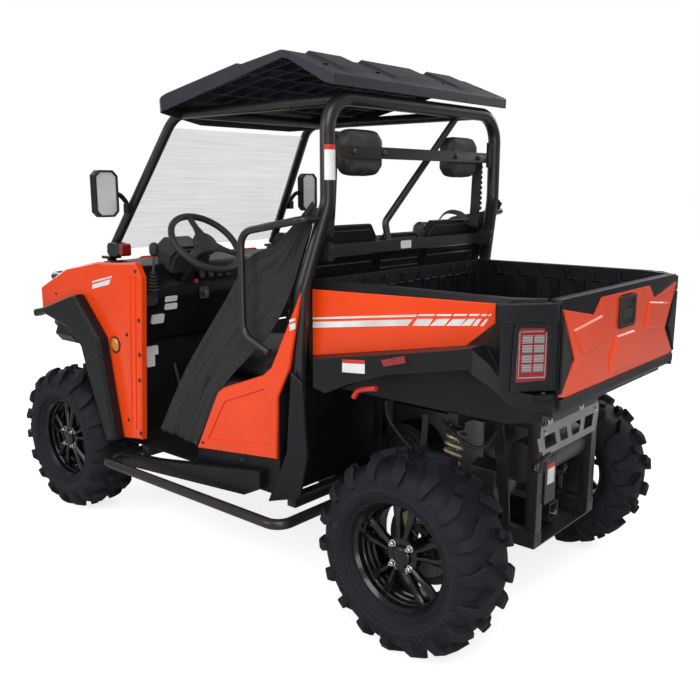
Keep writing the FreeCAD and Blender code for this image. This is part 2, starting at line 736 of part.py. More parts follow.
def cowl_struts():
    """Tubes from the front shock tower up to a plate under each pillar's foot."""
    lean = pillar_direction().getAngle(V(0, 0, 1))
    top = q.pillar_foot_height - q.pillar_tube_radius * math.sin(lean) - q.seat_clearance
    pieces = []
    for side in (-1, 1):
        start = V(side * q.shock_top_x, FRONT_AXLE, q.deck_rail_height - q.deck_tube / 2)
        end = V(side * q.pillar_foot_x, FRONT_AXLE + q.pillar_foot_fore, top - q.cowl_plate_thickness)
        pieces.append(rod("cowl_strut_%d" % (side + 1), start, end, "{cowl_tube_radius}"))
        plate = doc.addObject("Part::Box", "cowl_plate_%d" % (side + 1))
        plate.setExpression("Length", ex("{cowl_plate}"))
        plate.setExpression("Width", ex("{cowl_plate}"))
        plate.setExpression("Height", ex("{cowl_plate_thickness} * 2"))
        plate.Placement.Base = V(side * q.pillar_foot_x - q.cowl_plate / 2,
                                 (FRONT_AXLE + q.pillar_foot_fore) - q.cowl_plate / 2,
                                 top - q.cowl_plate_thickness * 2)
        pieces.append(plate)
    return pieces


def shock_cross(name, along):
    """Cross tube whose underside stands just over both shocks."""
    return box(name, ("({shock_top_x} + {deck_tube}) * 2", "{deck_tube}", "{deck_tube}"),
               ("-{shock_top_x} - {deck_tube}", along, "{deck_rail_height} - {deck_tube}"))


def deck_frame():
    """Upright tubes and rails that carry the load bed."""
    pieces = []
    low = "{belly_height} + {frame_tube} + {seat_clearance}"
    for side, name in (("-1", "right"), ("1", "left")):
        across = "%s * {frame_front_half_width} - {deck_tube} / 2" % side
        for end_name, along in (("front", "(rear_axle + {bed_front_aft}) + {deck_tube}"),
                                ("rear", "(rear_axle + {deck_rear_aft}) - {deck_tube}")):
            pieces.append(box("deck_post_%s_%s" % (end_name, name),
                              ("{deck_tube}", "{deck_tube}",
                               "{deck_rail_height} - {belly_height} - {frame_tube}"
                               " - {seat_clearance}"),
                              (across, along, low)))
        pieces.append(box("deck_rail_" + name,
                          ("{deck_tube}", "(rear_axle + {deck_rear_aft}) - (rear_axle + {bed_front_aft}) - {deck_tube}",
                           "{deck_tube}"),
                          (across, "(rear_axle + {bed_front_aft}) + {deck_tube}",
                           "{deck_rail_height} - {deck_tube}")))
    for end_name, along in (("front", "(rear_axle + {bed_front_aft}) + {deck_tube}"),
                            ("rear", "(rear_axle + {deck_rear_aft}) - {deck_tube}")):
        pieces.append(box("deck_cross_" + end_name,
                          ("{frame_front_half_width} * 2", "{deck_tube}", "{deck_tube}"),
                          ("-{frame_front_half_width}", along,
                           "{deck_rail_height} - {deck_tube}")))
    for side, name in (("-1", "right"), ("1", "left")):
        pieces.append(box("pivot_saddle_" + name,
                          ("{deck_tube}", "{deck_tube}",
                           "{bed_pivot_height} - {deck_rail_height}"),
                          ("%s * {frame_front_half_width} - {deck_tube} / 2" % side,
                           "(rear_axle + {bed_pivot_aft}) - {deck_tube} / 2", "{deck_rail_height}")))
    pieces.append(shock_cross("rear_shock_cross", REAR_CROSS_Y))
    pieces.append(rod("bed_pivot", V(-q.bed_pivot_half_length, REAR_AXLE + q.bed_pivot_aft, q.bed_pivot_height),
                      V(q.bed_pivot_half_length, REAR_AXLE + q.bed_pivot_aft, q.bed_pivot_height),
                      "{bed_pivot_radius}"))
    keep("deck_frame", fuse("deck_frame", pieces))


def hoop_post_at(height):
    """Centre of the hoop's left post between its foot and its bend."""
    foot = V(q.hoop_foot_half_width, REAR_AXLE + q.hoop_foot_aft, q.hoop_foot_height)
    bend = V(q.hoop_half_width, REAR_AXLE + q.hoop_top_aft, q.hoop_bend_height)
    return foot + (bend - foot) * ((height - foot.z) / (bend.z - foot.z))


HOOP_RAIL_REACH = ("({hoop_foot_half_width} - ({hoop_foot_half_width} - {hoop_half_width})"
                   " * ({hoop_rail_low} + {hoop_rail_height} / 2 - {hoop_foot_height})"
                   " / ({hoop_bend_height} - {hoop_foot_height}))")


def rear_hoop():
    """The hoop behind the seats, with its cross rail and diagonal brace."""
    top_y = REAR_AXLE + q.hoop_top_aft
    left = [(q.hoop_base_half_width, REAR_AXLE + q.hoop_base_aft, q.hoop_base_height),
            (q.hoop_foot_half_width, REAR_AXLE + q.hoop_foot_aft, q.hoop_foot_height),
            (q.hoop_half_width, top_y, q.hoop_bend_height),
            (q.hoop_half_width, top_y, q.hoop_top_height)]
    right = mirror_x(left)[::-1]
    hoop = tube("hoop_tube", left + right, q.hoop_tube_radius, q.hoop_bend)
    rail_middle = q.hoop_rail_low + q.hoop_rail_height / 2
    rail = box("hoop_rail", (HOOP_RAIL_REACH + " * 2", "{hoop_rail_depth}", "{hoop_rail_height}"),
               ("-" + HOOP_RAIL_REACH, "rear_axle + {hoop_rail_aft} - {hoop_rail_depth} / 2",
                "{hoop_rail_low}"))
    brace = tube("hoop_brace",
                 [(q.brace_top_x, top_y - q.brace_radius / 2, q.hoop_top_height),
                  (q.brace_low_x, REAR_AXLE + q.brace_low_aft, q.brace_low_height),
                  (q.brace_low_x, REAR_AXLE + q.hoop_rail_aft, rail_middle)],
                 q.brace_radius, q.brace_bend)
    keep("rear_hoop", fuse("rear_hoop", [hoop, rail, brace]))


def front_pillars():
    """Windscreen pillars that bend into the roof rails."""
    back = (REAR_AXLE + q.hoop_top_aft) - q.hoop_tube_radius - q.seat_clearance
    points = [(q.pillar_foot_x, FRONT_AXLE + q.pillar_foot_fore, q.pillar_foot_height),
              (q.pillar_top_x, FRONT_AXLE + q.pillar_top_fore, q.pillar_top_height),
              (q.hoop_half_width - q.hoop_bend, back, q.hoop_top_height)]
    side = tube("pillar_tube", points, q.pillar_tube_radius, q.roof_rail_bend)
    mirrored_pair("front_pillars", side)
    share = ((FRONT_AXLE + q.windscreen_bar_fore) - (FRONT_AXLE + q.pillar_top_fore)) / (back - (FRONT_AXLE + q.pillar_top_fore))
    rail_x = q.pillar_top_x + (q.hoop_half_width - q.hoop_bend - q.pillar_top_x) * share
    reach = rail_x - q.pillar_tube_radius - q.seat_clearance
    keep("windscreen_bar", rod("windscreen_bar",
                               V(-reach, FRONT_AXLE + q.windscreen_bar_fore, q.pillar_top_height),
                               V(reach, FRONT_AXLE + q.windscreen_bar_fore, q.pillar_top_height),
                               "{pillar_tube_radius}"))


def headrests():
    """Flat bar across the hoop with its two headrest cushions."""
    keep("headrest_bar",
         box("headrest_bar",
             ("({hoop_half_width} - {hoop_tube_radius} - {seat_clearance}) * 2",
              "{headrest_bar_thickness}", "{headrest_bar_height}"),
             ("-{hoop_half_width} + {hoop_tube_radius} + {seat_clearance}",
              "(rear_axle + {hoop_top_aft}) - {headrest_bar_thickness} / 2",
              "{headrest_height} - {headrest_bar_height} / 2")))
    body = doc.addObject("PartDesign::Body", "headrest_body")
    half = q.headrest_width / 2
    low = q.headrest_height - q.headrest_size / 2
    corners = [(q.headrest_x - half, low), (q.headrest_x + half, low),
               (q.headrest_x + half, low + q.headrest_size),
               (q.headrest_x - half, low + q.headrest_size)]
    profile = sketch_on(body, "headrest_outline", "XZ_Plane", outline(corners, q.cushion_corner),
                        "-(rear_axle + {hoop_top_aft}) + {headrest_bar_thickness} / 2 + {seat_clearance}")
    pad(body, "headrest_pad", profile, "{headrest_thickness}")
    mirrored_pair("headrests", body)


# Roof and screen

def roof():
    """Moulded roof: a ridged top sheet with deep edges all round."""
    body = doc.addObject("PartDesign::Body", "roof_body")
    front = (FRONT_AXLE + q.roof_front_fore)
    long = q.roof_length
    low = q.roof_low_height
    tall = q.roof_rise
    top = [(front + long * along, low + tall * up) for along, up in ROOF_TOP_SHARES]
    under = [(along, up - q.roof_wall * 1.2) for along, up in reversed(top)]
    sheet_profile = sketch_on(body, "roof_sheet_outline", "YZ_Plane", outline(top + under),
                              "-{roof_half_width}")
    pad(body, "roof_sheet", sheet_profile, "{roof_half_width} * 2")
    lower = [(front + long * along, low + tall * up) for along, up in ROOF_EDGE_SHARES]
    for name, offset in (("left", "{roof_half_width} - {roof_wall}"), ("right", "-{roof_half_width}")):
        edge = sketch_on(body, "roof_edge_%s_outline" % name, "YZ_Plane",
                         outline(top + list(reversed(lower))), offset)
        pad(body, "roof_edge_" + name, edge, "{roof_wall}")
    roof_feet(body, top)
    keep("roof", body)


def height_at(points, along):
    """Height of a run of (along, up) points at one place."""
    for (before, low), (after, high) in zip(points, points[1:]):
        if before <= along <= after:
            return low + (high - low) * (along - before) / (after - before)
    raise ValueError("outside the run")


def roof_feet(body, top):
    """Feet under the roof sheet that stand on the roof rails."""
    rail_top = q.pillar_top_height + q.pillar_tube_radius + q.seat_clearance
    for place, start in (("front", FRONT_AXLE + q.roof_foot_front_fore), ("rear", REAR_AXLE + q.roof_foot_rear_aft)):
        end = start + q.roof_foot_length
        foot = [(start, rail_top), (end, rail_top),
                (end, height_at(top, end) - q.roof_wall / 2),
                (start, height_at(top, start) - q.roof_wall / 2)]
        for name, offset in (("left", "{pillar_top_x} - {roof_foot_width} / 2"),
                             ("right", "-{pillar_top_x} - {roof_foot_width} / 2")):
            profile = sketch_on(body, "roof_foot_%s_%s_outline" % (place, name), "YZ_Plane",
                                outline(foot), offset)
            pad(body, "roof_foot_%s_%s" % (place, name), profile, "{roof_foot_width}")


def windshield():
    """Clear screen in the plane of the front pillars."""
    body = doc.addObject("PartDesign::Body", "windshield_body")
    rise = V(0, (FRONT_AXLE + q.pillar_top_fore) - (FRONT_AXLE + q.pillar_foot_fore), q.pillar_top_height - q.pillar_foot_height)
    lean = (q.pillar_foot_x - q.pillar_top_x) / rise.Length
    inset = (q.pillar_tube_radius + q.seat_clearance) * math.hypot(1, lean)
    length = rise.Length - q.pillar_tube_radius * 3
    foot = q.pillar_foot_x - lean * q.pillar_tube_radius - inset
    top = q.pillar_foot_x - lean * length - inset
    corners = [(-foot, q.pillar_tube_radius), (foot, q.pillar_tube_radius), (top, length),
               (-top, length)]
    profile = sketch_on(body, "windshield_outline", "XY_Plane",
                        outline(corners, q.pillar_tube_radius))
    pad(body, "windshield_pad", profile, "{windshield_thickness}", True)
    tilt = math.degrees(math.atan2(rise.z, rise.y))
    body.Placement = FreeCAD.Placement(V(0, FRONT_AXLE + q.pillar_foot_fore, q.pillar_foot_height),
                                       FreeCAD.Rotation(V(1, 0, 0), tilt))
    keep("windshield", body)


# Cab

def side_outline(shares, front, length, low, height):
    """Side-view points from (along, up) shares of a box."""
    return [(front + length * along, low + height * up) for along, up in shares]


def cab():
    floor = [(FRONT_AXLE + q.footwell_front_fore, q.footwell_top), (FRONT_AXLE + q.footwell_front_fore, FLOOR_HEIGHT),
             ((REAR_AXLE + q.seat_box_front_aft) - q.seat_clearance, FLOOR_HEIGHT),
             ((REAR_AXLE + q.seat_box_front_aft) - q.seat_clearance, FLOOR_HEIGHT + q.floor_wall),
             ((FRONT_AXLE + q.footwell_front_fore) + q.floor_wall, FLOOR_HEIGHT + q.floor_wall),
             ((FRONT_AXLE + q.footwell_front_fore) + q.floor_wall, q.footwell_top)]
    keep("floor_pan", padded_body("floor_pan", "YZ_Plane", outline(floor), "-{floor_half_width}",
                                  "{floor_half_width} * 2"))
    box_side = [(REAR_AXLE + q.seat_box_front_aft, FLOOR_HEIGHT), (REAR_AXLE + q.seat_box_back_aft, FLOOR_HEIGHT),
                (REAR_AXLE + q.seat_box_back_aft, q.seat_box_top), (REAR_AXLE + q.seat_box_front_aft, q.seat_box_top)]
    corner = q.cushion_corner / 2
    keep("seat_box", padded_body("seat_box", "YZ_Plane",
                                 outline(box_side, [0, 0, corner, corner]),
                                 "-{seat_box_half_width}", "{seat_box_half_width} * 2"))


def steering_line(distance):
    """Point on the steering axis, this far down from the wheel's centre."""
    tilt = math.radians(q.steering_wheel_tilt)
    hub = V(q.steering_wheel_x, FRONT_AXLE + q.steering_wheel_fore, q.steering_wheel_height)
    return hub - V(0, math.cos(tilt), math.sin(tilt)) * distance


def dashboard():
    """Dash with the bored steering column that stands out of it."""
    dash = side_outline(DASH_SHARES, FRONT_AXLE + q.dash_front_fore, q.dash_depth, q.dash_low, q.dash_height)
    half = "({fender_half_width} - {fender_wall} - {seat_clearance})"
    body = padded_body("dash", "YZ_Plane", outline(dash, q.cushion_corner / 2), "-" + half,
                       half + " * 2")
    top = q.steering_hub_depth + q.moving_clearance
    low = top + q.steering_column_length
    hole = rod("dash_column_hole", steering_line(top), steering_line(low + q.seat_clearance),
               "{column_radius} + {seat_clearance}")
    cut = doc.addObject("Part::Cut", "dashboard")
    cut.Base = body
    cut.Tool = hole
    keep("dashboard", cut)
    bored = doc.addObject("Part::Cut", "steering_column")
    bored.Base = rod("column_tube", steering_line(top), steering_line(low), "{column_radius}")
    bored.Tool = rod("column_bore", steering_line(q.steering_hub_depth),
                     steering_line(top + q.steering_shaft_length),
                     "{steering_shaft_radius} + {seat_clearance}")
    keep("steering_column", bored)


def seat_spans(middle, side):
    """Left and right ends across the three seats, with the outer faces in line."""
    outer = q.cushion_middle_width / 2 + q.seat_gap + q.cushion_side_width
    return ((-outer, side - outer), (-middle / 2, middle / 2), (outer - side, outer))


def cushion_block(name, corners, rounds, span):
    """One stuffed block, from its side view and its span across."""
    body = doc.addObject("PartDesign::Body", name)
    profile = sketch_on(body, name + "_outline", "YZ_Plane", outline(corners, rounds))
    profile.AttachmentOffset.Base = V(0, 0, span[0])
    made = body.newObject("PartDesign::Pad", name + "_pad")
    made.Profile = profile
    made.Length = span[1] - span[0]
    return body


def cushions():
    """Bench cushions and backrests, left, middle and right."""
    low = q.seat_box_top + q.seat_clearance
    front = REAR_AXLE + q.seat_box_front_aft - q.cushion_nose
    foot = REAR_AXLE + q.seat_box_back_aft - q.seat_back_thickness
    bench = [(front, low), (foot, low), (foot, low + q.cushion_thickness),
             (front, low + q.cushion_thickness)]
    seats = []
    spans = seat_spans(q.cushion_middle_width, q.cushion_side_width)
    for place, span in enumerate(spans):
        seats.append(cushion_block("cushion_%d" % place, bench, q.cushion_corner, span))
    lean = math.tan(math.radians(q.seat_back_lean))
    backs = []
    spans = seat_spans(q.backrest_middle_width, q.backrest_side_width)
    for place, span in enumerate(spans):
        tall = q.seat_back_height - (q.seat_gap * 2 if place == 1 else 0)
        start = foot + q.seat_clearance
        upright = [(start, low), (start + q.seat_back_thickness, low),
                   (start + q.seat_back_thickness + tall * lean, low + tall),
                   (start + tall * lean, low + tall)]
        backs.append(cushion_block("backrest_%d" % place, upright, q.cushion_corner, span))
    for label, items in (("seat_cushions", seats), ("seat_backs", backs)):
        group = doc.addObject("Part::Compound", label)
        group.Links = items
        keep(label, group)


def steering_wheel():
    """Rim, three spokes and hub, square to the column."""
    pieces = []
    grip = doc.addObject("Part::Torus", "wheel_grip")
    grip.setExpression("Radius1", ex("{steering_wheel_radius}"))
    grip.setExpression("Radius2", ex("{steering_grip_radius}"))
    pieces.append(grip)
    hub = rod("wheel_hub", V(0, 0, -q.steering_hub_depth), V(0, 0, q.steering_grip_radius / 2),
              "{steering_hub_radius}")
    pieces.append(hub)
    pieces.append(rod("wheel_shaft", V(0, 0, 0),
                      V(0, 0, -q.steering_hub_depth - q.steering_shaft_length),
                      "{steering_shaft_radius}"))
    for place in range(3):
        turn = math.radians(270 - 120 * place)
        out = V(math.cos(turn), math.sin(turn), 0)
        pieces.append(rod("wheel_spoke_%d" % place, V(0, 0, -q.steering_grip_radius / 2),
                          out * q.steering_wheel_radius, "{steering_spoke_radius}"))
    wheel = fuse("steering_wheel", pieces)
    wheel.Placement = FreeCAD.Placement(
        V(q.steering_wheel_x, FRONT_AXLE + q.steering_wheel_fore, q.steering_wheel_height),
        FreeCAD.Rotation(V(1, 0, 0), -(90 - q.steering_wheel_tilt)))
    keep("steering_wheel", wheel)


# Bodywork

def bodywork():
    hood = side_outline(HOOD_SHARES, FRONT_AXLE + q.hood_front_fore, HOOD_BACK_Y - (FRONT_AXLE + q.hood_front_fore), q.hood_low,
                        q.hood_height)
    keep("hood", padded_body("hood", "YZ_Plane", outline(hood), "-{hood_half_width}",
                             "{hood_half_width} * 2"))
    fender = side_outline(FENDER_SHARES, FRONT_AXLE + q.fender_front_fore, q.fender_length, q.fender_low,
                          q.fender_height)
    side = padded_body("fender", "YZ_Plane", outline(fender),
                       "{fender_half_width} - {fender_wall}", "{fender_wall}")
    top = side_outline(FENDER_TOP_SHARES, FRONT_AXLE + q.fender_front_fore, q.fender_length, q.fender_low,
                       q.fender_height)
    under = [(along, up - q.panel_wall) for along, up in reversed(top)]
    cover = sketch_on(side, "fender_top_outline", "YZ_Plane", outline(top + under),
                      "{hood_half_width} + {seat_clearance}")
    pad(side, "fender_top", cover, "{fender_half_width} - {hood_half_width} - {fender_wall}")
    mirrored_pair("front_fenders", side)
    flare = side_outline(FLARE_SHARES, FRONT_AXLE + q.fender_front_fore, q.fender_length, q.fender_low,
                         q.fender_height)
    mirrored_pair("front_flares",
                  padded_body("flare", "YZ_Plane", outline(flare),
                              "{fender_half_width} + {seat_clearance} * 2", "{flare_width}"))
    fascia = side_outline(FASCIA_SHARES, FRONT_AXLE + q.fascia_front_fore,
                          (FRONT_AXLE + q.frame_front_fore) - q.seat_clearance - (FRONT_AXLE + q.fascia_front_fore), q.fascia_low,
                          q.hood_low - q.seat_clearance - q.fascia_low)
    keep("front_fascia", padded_body("front_fascia", "YZ_Plane", outline(fascia),
                                     "-{fascia_half_width}", "{fascia_half_width} * 2"))
    panel = side_outline(SEAT_PANEL_SHARES, REAR_AXLE + q.seat_panel_front_aft, q.seat_panel_length,
                         q.seat_panel_low, q.seat_panel_height)
    mirrored_pair("seat_side_panels",
                  padded_body("seat_panel", "YZ_Plane", outline(panel), SIDE_FACE,
                              "{panel_wall}"))
    rear_panel = side_outline(REAR_PANEL_SHARES, REAR_AXLE + q.rear_panel_front_aft, q.rear_panel_length,
                              q.rear_panel_low, q.rear_panel_height)
    mirrored_pair("rear_side_panels",
                  padded_body("rear_panel", "YZ_Plane", outline(rear_panel), SIDE_FACE,
                              "{panel_wall}"))
    sill = side_outline(SILL_SHARES, FRONT_AXLE + q.sill_front_fore, q.sill_length, q.sill_low, q.sill_height)
    mirrored_pair("sills", padded_body("sill", "YZ_Plane", outline(sill), SIDE_FACE,
                                       "{sill_width}"))


def bars():
    """Step bars and the front bumper."""
    rear = (REAR_AXLE + q.step_bar_rear_aft)
    front = (FRONT_AXLE + q.step_bar_front_fore)
    inner = q.frame_front_half_width + q.frame_tube / 2 + q.seat_clearance
    points = [(inner, front, q.step_bar_height), (q.step_bar_x, front, q.step_bar_height),
              (q.step_bar_x, rear, q.step_bar_height), (inner, rear, q.step_bar_height)]
    mirrored_pair("step_bars", tube("step_bar", points, q.step_bar_radius, q.step_bar_radius * 3))
    pieces = []
    for name, height in (("top", q.bumper_top_height), ("low", q.bumper_low_height)):
        half = q.bumper_half_width + q.bumper_tube_radius
        line = [(half, FRONT_AXLE + q.bumper_back_fore, height),
                (half, FRONT_Y + q.bumper_tube_radius, height)]
        pieces.append(tube("bumper_" + name, line + mirror_x(line)[::-1], q.bumper_tube_radius,
                           q.bumper_tube_radius * 4))
    for side in (-1, 1):
        across = side * q.bumper_upright_x
        pieces.append(rod("bumper_upright_%d" % (side + 1),
                          V(across, FRONT_Y + q.bumper_tube_radius, q.bumper_foot_height),
                          V(across, FRONT_Y + q.bumper_tube_radius, q.bumper_top_height),
                          "{bumper_tube_radius}"))
        pieces.append(rod("bumper_leg_%d" % (side + 1),
                          V(across, FRONT_Y + q.bumper_tube_radius, q.bumper_foot_height),
                          V(across, (FRONT_AXLE + q.frame_front_fore) - q.seat_clearance, q.bumper_foot_height),
                          "{bumper_tube_radius}"))
    keep("front_bumper", fuse("front_bumper", pieces))


def side_hoops():
    """Shoulder hoops from the rear posts down to the under-seat panels."""
    share = (q.side_hoop_top - q.hoop_foot_height) / (q.hoop_bend_height - q.hoop_foot_height)
    post_x = q.hoop_foot_half_width + (q.hoop_half_width - q.hoop_foot_half_width) * share
    post_y = (REAR_AXLE + q.hoop_foot_aft) + ((REAR_AXLE + q.hoop_top_aft) - (REAR_AXLE + q.hoop_foot_aft)) * share
    line = [(post_x + q.side_hoop_clamp, post_y, q.side_hoop_top),
            (SIDE_HOOP_X, post_y, q.side_hoop_top),
            (SIDE_HOOP_X, REAR_AXLE + q.side_hoop_front_aft, q.side_hoop_top - q.side_hoop_drop),
            (SIDE_HOOP_X, REAR_AXLE + q.side_hoop_front_aft, q.side_hoop_low),
            (SIDE_HOOP_X, REAR_AXLE + q.side_hoop_foot_aft, q.side_hoop_low - q.side_hoop_drop)]
    bends = [0, q.side_hoop_bend / 2, q.side_hoop_bend, q.side_hoop_bend, 0]
    mirrored_pair("side_hoops", tube("side_hoop", line, q.side_hoop_radius, bends))


def mirrors():
    """Mirror shells on arms that stand square out of the pillars."""
    along = pillar_direction()
    foot = V(q.pillar_foot_x, FRONT_AXLE + q.pillar_foot_fore, q.pillar_foot_height)
    clamp = foot + along * ((q.mirror_arm_height - q.pillar_foot_height) / along.z)
    out = (V(1, 0, 0) - along * along.x).normalize()
    start = clamp + out * (q.pillar_tube_radius + q.seat_clearance)
    end = start + out * ((q.mirror_x - start.x) / out.x)
    arm = rod("mirror_arm", start, end, "{mirror_arm_radius}")
    shell = doc.addObject("Part::Box", "mirror_shell")
    shell.setExpression("Length", ex("{mirror_width}"))
    shell.setExpression("Width", ex("{mirror_thickness}"))
    shell.setExpression("Height", ex("{mirror_size}"))
    shell.Placement.Base = V(q.mirror_x - q.mirror_width / 2, end.y - q.mirror_thickness / 2,
                             q.mirror_height - q.mirror_size / 2)
    mirrored_pair("mirrors", fuse("mirror_left", [arm, shell]))


def drivetrain():
    keep("engine", box("engine", ("{engine_width}", "{engine_length}", "{engine_height}"),
                       ("-{engine_width} / 2", "rear_axle + {engine_aft}",
                        "{belly_height} + {frame_tube} + {seat_clearance}")))
    case_start = q.engine_width / 2 + q.seat_clearance
    keep("drive_case", rod("drive_case", V(case_start, REAR_AXLE + q.belt_case_aft, q.belt_case_height),
                           V(q.belt_case_x, REAR_AXLE + q.belt_case_aft, q.belt_case_height),
                           "{belt_case_radius}"))
    reach = q.frame_front_half_width - q.deck_tube / 2 - q.seat_clearance
    keep("muffler", rod("muffler", V(-reach, REAR_AXLE + q.muffler_aft, q.muffler_height),
                        V(reach, REAR_AXLE + q.muffler_aft, q.muffler_height), "{muffler_radius}"))
    body = doc.addObject("PartDesign::Body", "receiver_body")
    outer = q.receiver_outer / 2
    inner = q.receiver_inner / 2
    square = [(-outer, -outer), (outer, -outer), (outer, outer), (-outer, outer)]
    hole = [(-inner, -inner), (inner, -inner), (inner, inner), (-inner, inner)]
    profile = sketch_on(body, "receiver_outline", "XZ_Plane", outline(square) + outline(hole))
    pad(body, "receiver_pad", profile, "{receiver_length}")
    body.Placement.Base = V(0, REAR_AXLE + q.receiver_aft, q.receiver_height)
    pin = rod("receiver_pin_hole", V(-q.receiver_outer, (REAR_AXLE + q.receiver_aft) - q.receiver_pin_setback,
                                     q.receiver_height),
              V(q.receiver_outer, (REAR_AXLE + q.receiver_aft) - q.receiver_pin_setback, q.receiver_height),
              "{receiver_pin_radius}")
    cut = doc.addObject("Part::Cut", "hitch_receiver")
    cut.Base = body
    cut.Tool = pin
    keep("hitch_receiver", cut)
    keep("guard_plate", box("guard_plate", ("{guard_width}", "{guard_thickness}", "{guard_height}"),
                            ("-{guard_width} / 2", "(rear_axle + {deck_rear_aft}) + {seat_clearance}",
                             "{guard_low}")))


# Load bed

GATE_HINGE = V(0, (REAR_AXLE + q.bed_rear_aft) + q.moving_clearance + q.tailgate_thickness / 2,
               q.tailgate_low + q.tailgate_thickness / 2)


def bed():
    """Open tub with chamfered rear corners."""
    half = q.bed_half_width - q.bed_skin
    gate = q.tailgate_half_width + q.moving_clearance
    plan = [(-half, REAR_AXLE + q.bed_front_aft), (half, REAR_AXLE + q.bed_front_aft), (half, REAR_AXLE + q.bed_chamfer_aft),
            (gate, REAR_AXLE + q.bed_rear_aft), (-gate, REAR_AXLE + q.bed_rear_aft), (-half, REAR_AXLE + q.bed_chamfer_aft)]
    body = doc.addObject("PartDesign::Body", "bed_body")
    profile = sketch_on(body, "bed_plan", "XY_Plane", outline(plan), "{bed_bottom_height}")
    pad(body, "bed_block", profile, "{bed_rail_height} - {bed_bottom_height}")
    wall = q.bed_wall
    inner = half - wall
    corner = (REAR_AXLE + q.bed_chamfer_aft) - wall / 2
    inside = [(-inner, (REAR_AXLE + q.bed_front_aft) + wall), (inner, (REAR_AXLE + q.bed_front_aft) + wall), (inner, corner),
              (q.tailgate_half_width - wall / 2, (REAR_AXLE + q.bed_rear_aft) + wall),
              (-q.tailgate_half_width + wall / 2, (REAR_AXLE + q.bed_rear_aft) + wall), (-inner, corner)]
    room = sketch_on(body, "bed_room_plan", "XY_Plane", outline(inside), "{bed_rail_height}")
    pocket = body.newObject("PartDesign::Pocket", "bed_room")
    pocket.Profile = room
    pocket.setExpression("Length", ex("{bed_rail_height} - {bed_floor_height}"))
    lug = [((REAR_AXLE + q.bed_pivot_aft) - q.bed_lug_radius, q.bed_bottom_height + q.bed_lug_wall),
           ((REAR_AXLE + q.bed_pivot_aft) - q.bed_lug_radius, q.bed_pivot_height - q.bed_lug_radius),
           ((REAR_AXLE + q.bed_pivot_aft) + q.bed_lug_radius, q.bed_pivot_height - q.bed_lug_radius),
           ((REAR_AXLE + q.bed_pivot_aft) + q.bed_lug_radius, q.bed_bottom_height + q.bed_lug_wall)]
    bore = Part.Circle(V(REAR_AXLE + q.bed_pivot_aft, q.bed_pivot_height, 0), V(0, 0, 1),
                       q.bed_pivot_radius + q.seat_clearance)
    rounds = [0, q.bed_lug_radius * 0.9, q.bed_lug_radius * 0.9, 0]
    for name, offset in (("left", "{bed_lug_x}"), ("right", "-{bed_lug_x} - {bed_lug_wall}")):
        ear = sketch_on(body, "bed_lug_%s_outline" % name, "YZ_Plane",
                        outline(lug, rounds) + [bore], offset)
        pad(body, "bed_lug_" + name, ear, "{bed_lug_wall}")
    keep("bed_tub", fuse("bed_tub", [body] + tailgate_ears()))
    skin = [(q.bed_half_width - q.bed_skin + q.seat_clearance, REAR_AXLE + q.bed_front_aft),
            (q.bed_half_width, REAR_AXLE + q.bed_front_aft), (q.bed_half_width, REAR_AXLE + q.bed_chamfer_aft),
            (q.bed_half_width - q.bed_skin + q.seat_clearance, REAR_AXLE + q.bed_chamfer_aft)]
    mirrored_pair("bed_skins", padded_body("bed_skin", "XY_Plane", outline(skin),
                                           "{bed_skin_low}",
                                           "{bed_rail_height} - {bed_skin_low} - {bed_rail_band}"))
    inner_x = q.bed_half_width + q.seat_clearance
    front = (REAR_AXLE + q.rear_fender_front_aft)
    fender = [(inner_x, front), (q.rear_fender_x, front + q.bed_wall),
              (q.rear_fender_x, REAR_AXLE + q.bed_chamfer_aft), (q.tailgate_half_width + q.bed_wall,
                                                   (REAR_AXLE + q.rear_fender_aft)),
              (q.tailgate_half_width + q.moving_clearance * 2, REAR_AXLE + q.rear_fender_aft),
              (q.tailgate_half_width + q.moving_clearance * 2, (REAR_AXLE + q.bed_rear_aft) + q.seat_clearance),
              (inner_x, REAR_AXLE + q.bed_chamfer_aft)]
    block = padded_body("rear_fender", "XY_Plane", outline(fender), "{rear_fender_low}",
                        "{rear_fender_height}")
    slope = (REAR_AXLE + q.rear_fender_aft) - (REAR_AXLE + q.bed_chamfer_aft)
    lamp = [(q.rear_fender_x, REAR_AXLE + q.bed_chamfer_aft),
            (q.tailgate_half_width + q.bed_wall, REAR_AXLE + q.rear_fender_aft),
            (q.tailgate_half_width + q.bed_wall, (REAR_AXLE + q.rear_fender_aft) - slope / 4),
            (q.rear_fender_x - slope / 4, REAR_AXLE + q.bed_chamfer_aft)]
    lens = padded_body("tail_lamp", "XY_Plane", outline(lamp), "{tail_lamp_low}",
                       "{tail_lamp_height}")
    room = [(q.rear_fender_x + slope, (REAR_AXLE + q.bed_chamfer_aft) + q.seat_clearance - slope),
            (q.tailgate_half_width + q.bed_wall - q.seat_clearance, (REAR_AXLE + q.rear_fender_aft) + slope),
            (q.tailgate_half_width + q.bed_wall - q.seat_clearance, (REAR_AXLE + q.rear_fender_aft) - slope / 4
             - q.seat_clearance),
            (q.rear_fender_x - slope / 4 - q.seat_clearance, (REAR_AXLE + q.bed_chamfer_aft) - q.seat_clearance)]
    hollow = padded_body("tail_lamp_room", "XY_Plane", outline(room),
                         "{tail_lamp_low} - {seat_clearance}",
                         "{tail_lamp_height} + {seat_clearance} * 2")
    cut = doc.addObject("Part::Cut", "rear_fender_cut")
    cut.Base = block
    cut.Tool = hollow
    mirrored_pair("rear_fenders", cut)
    mirrored_pair("tail_lamps", lens)


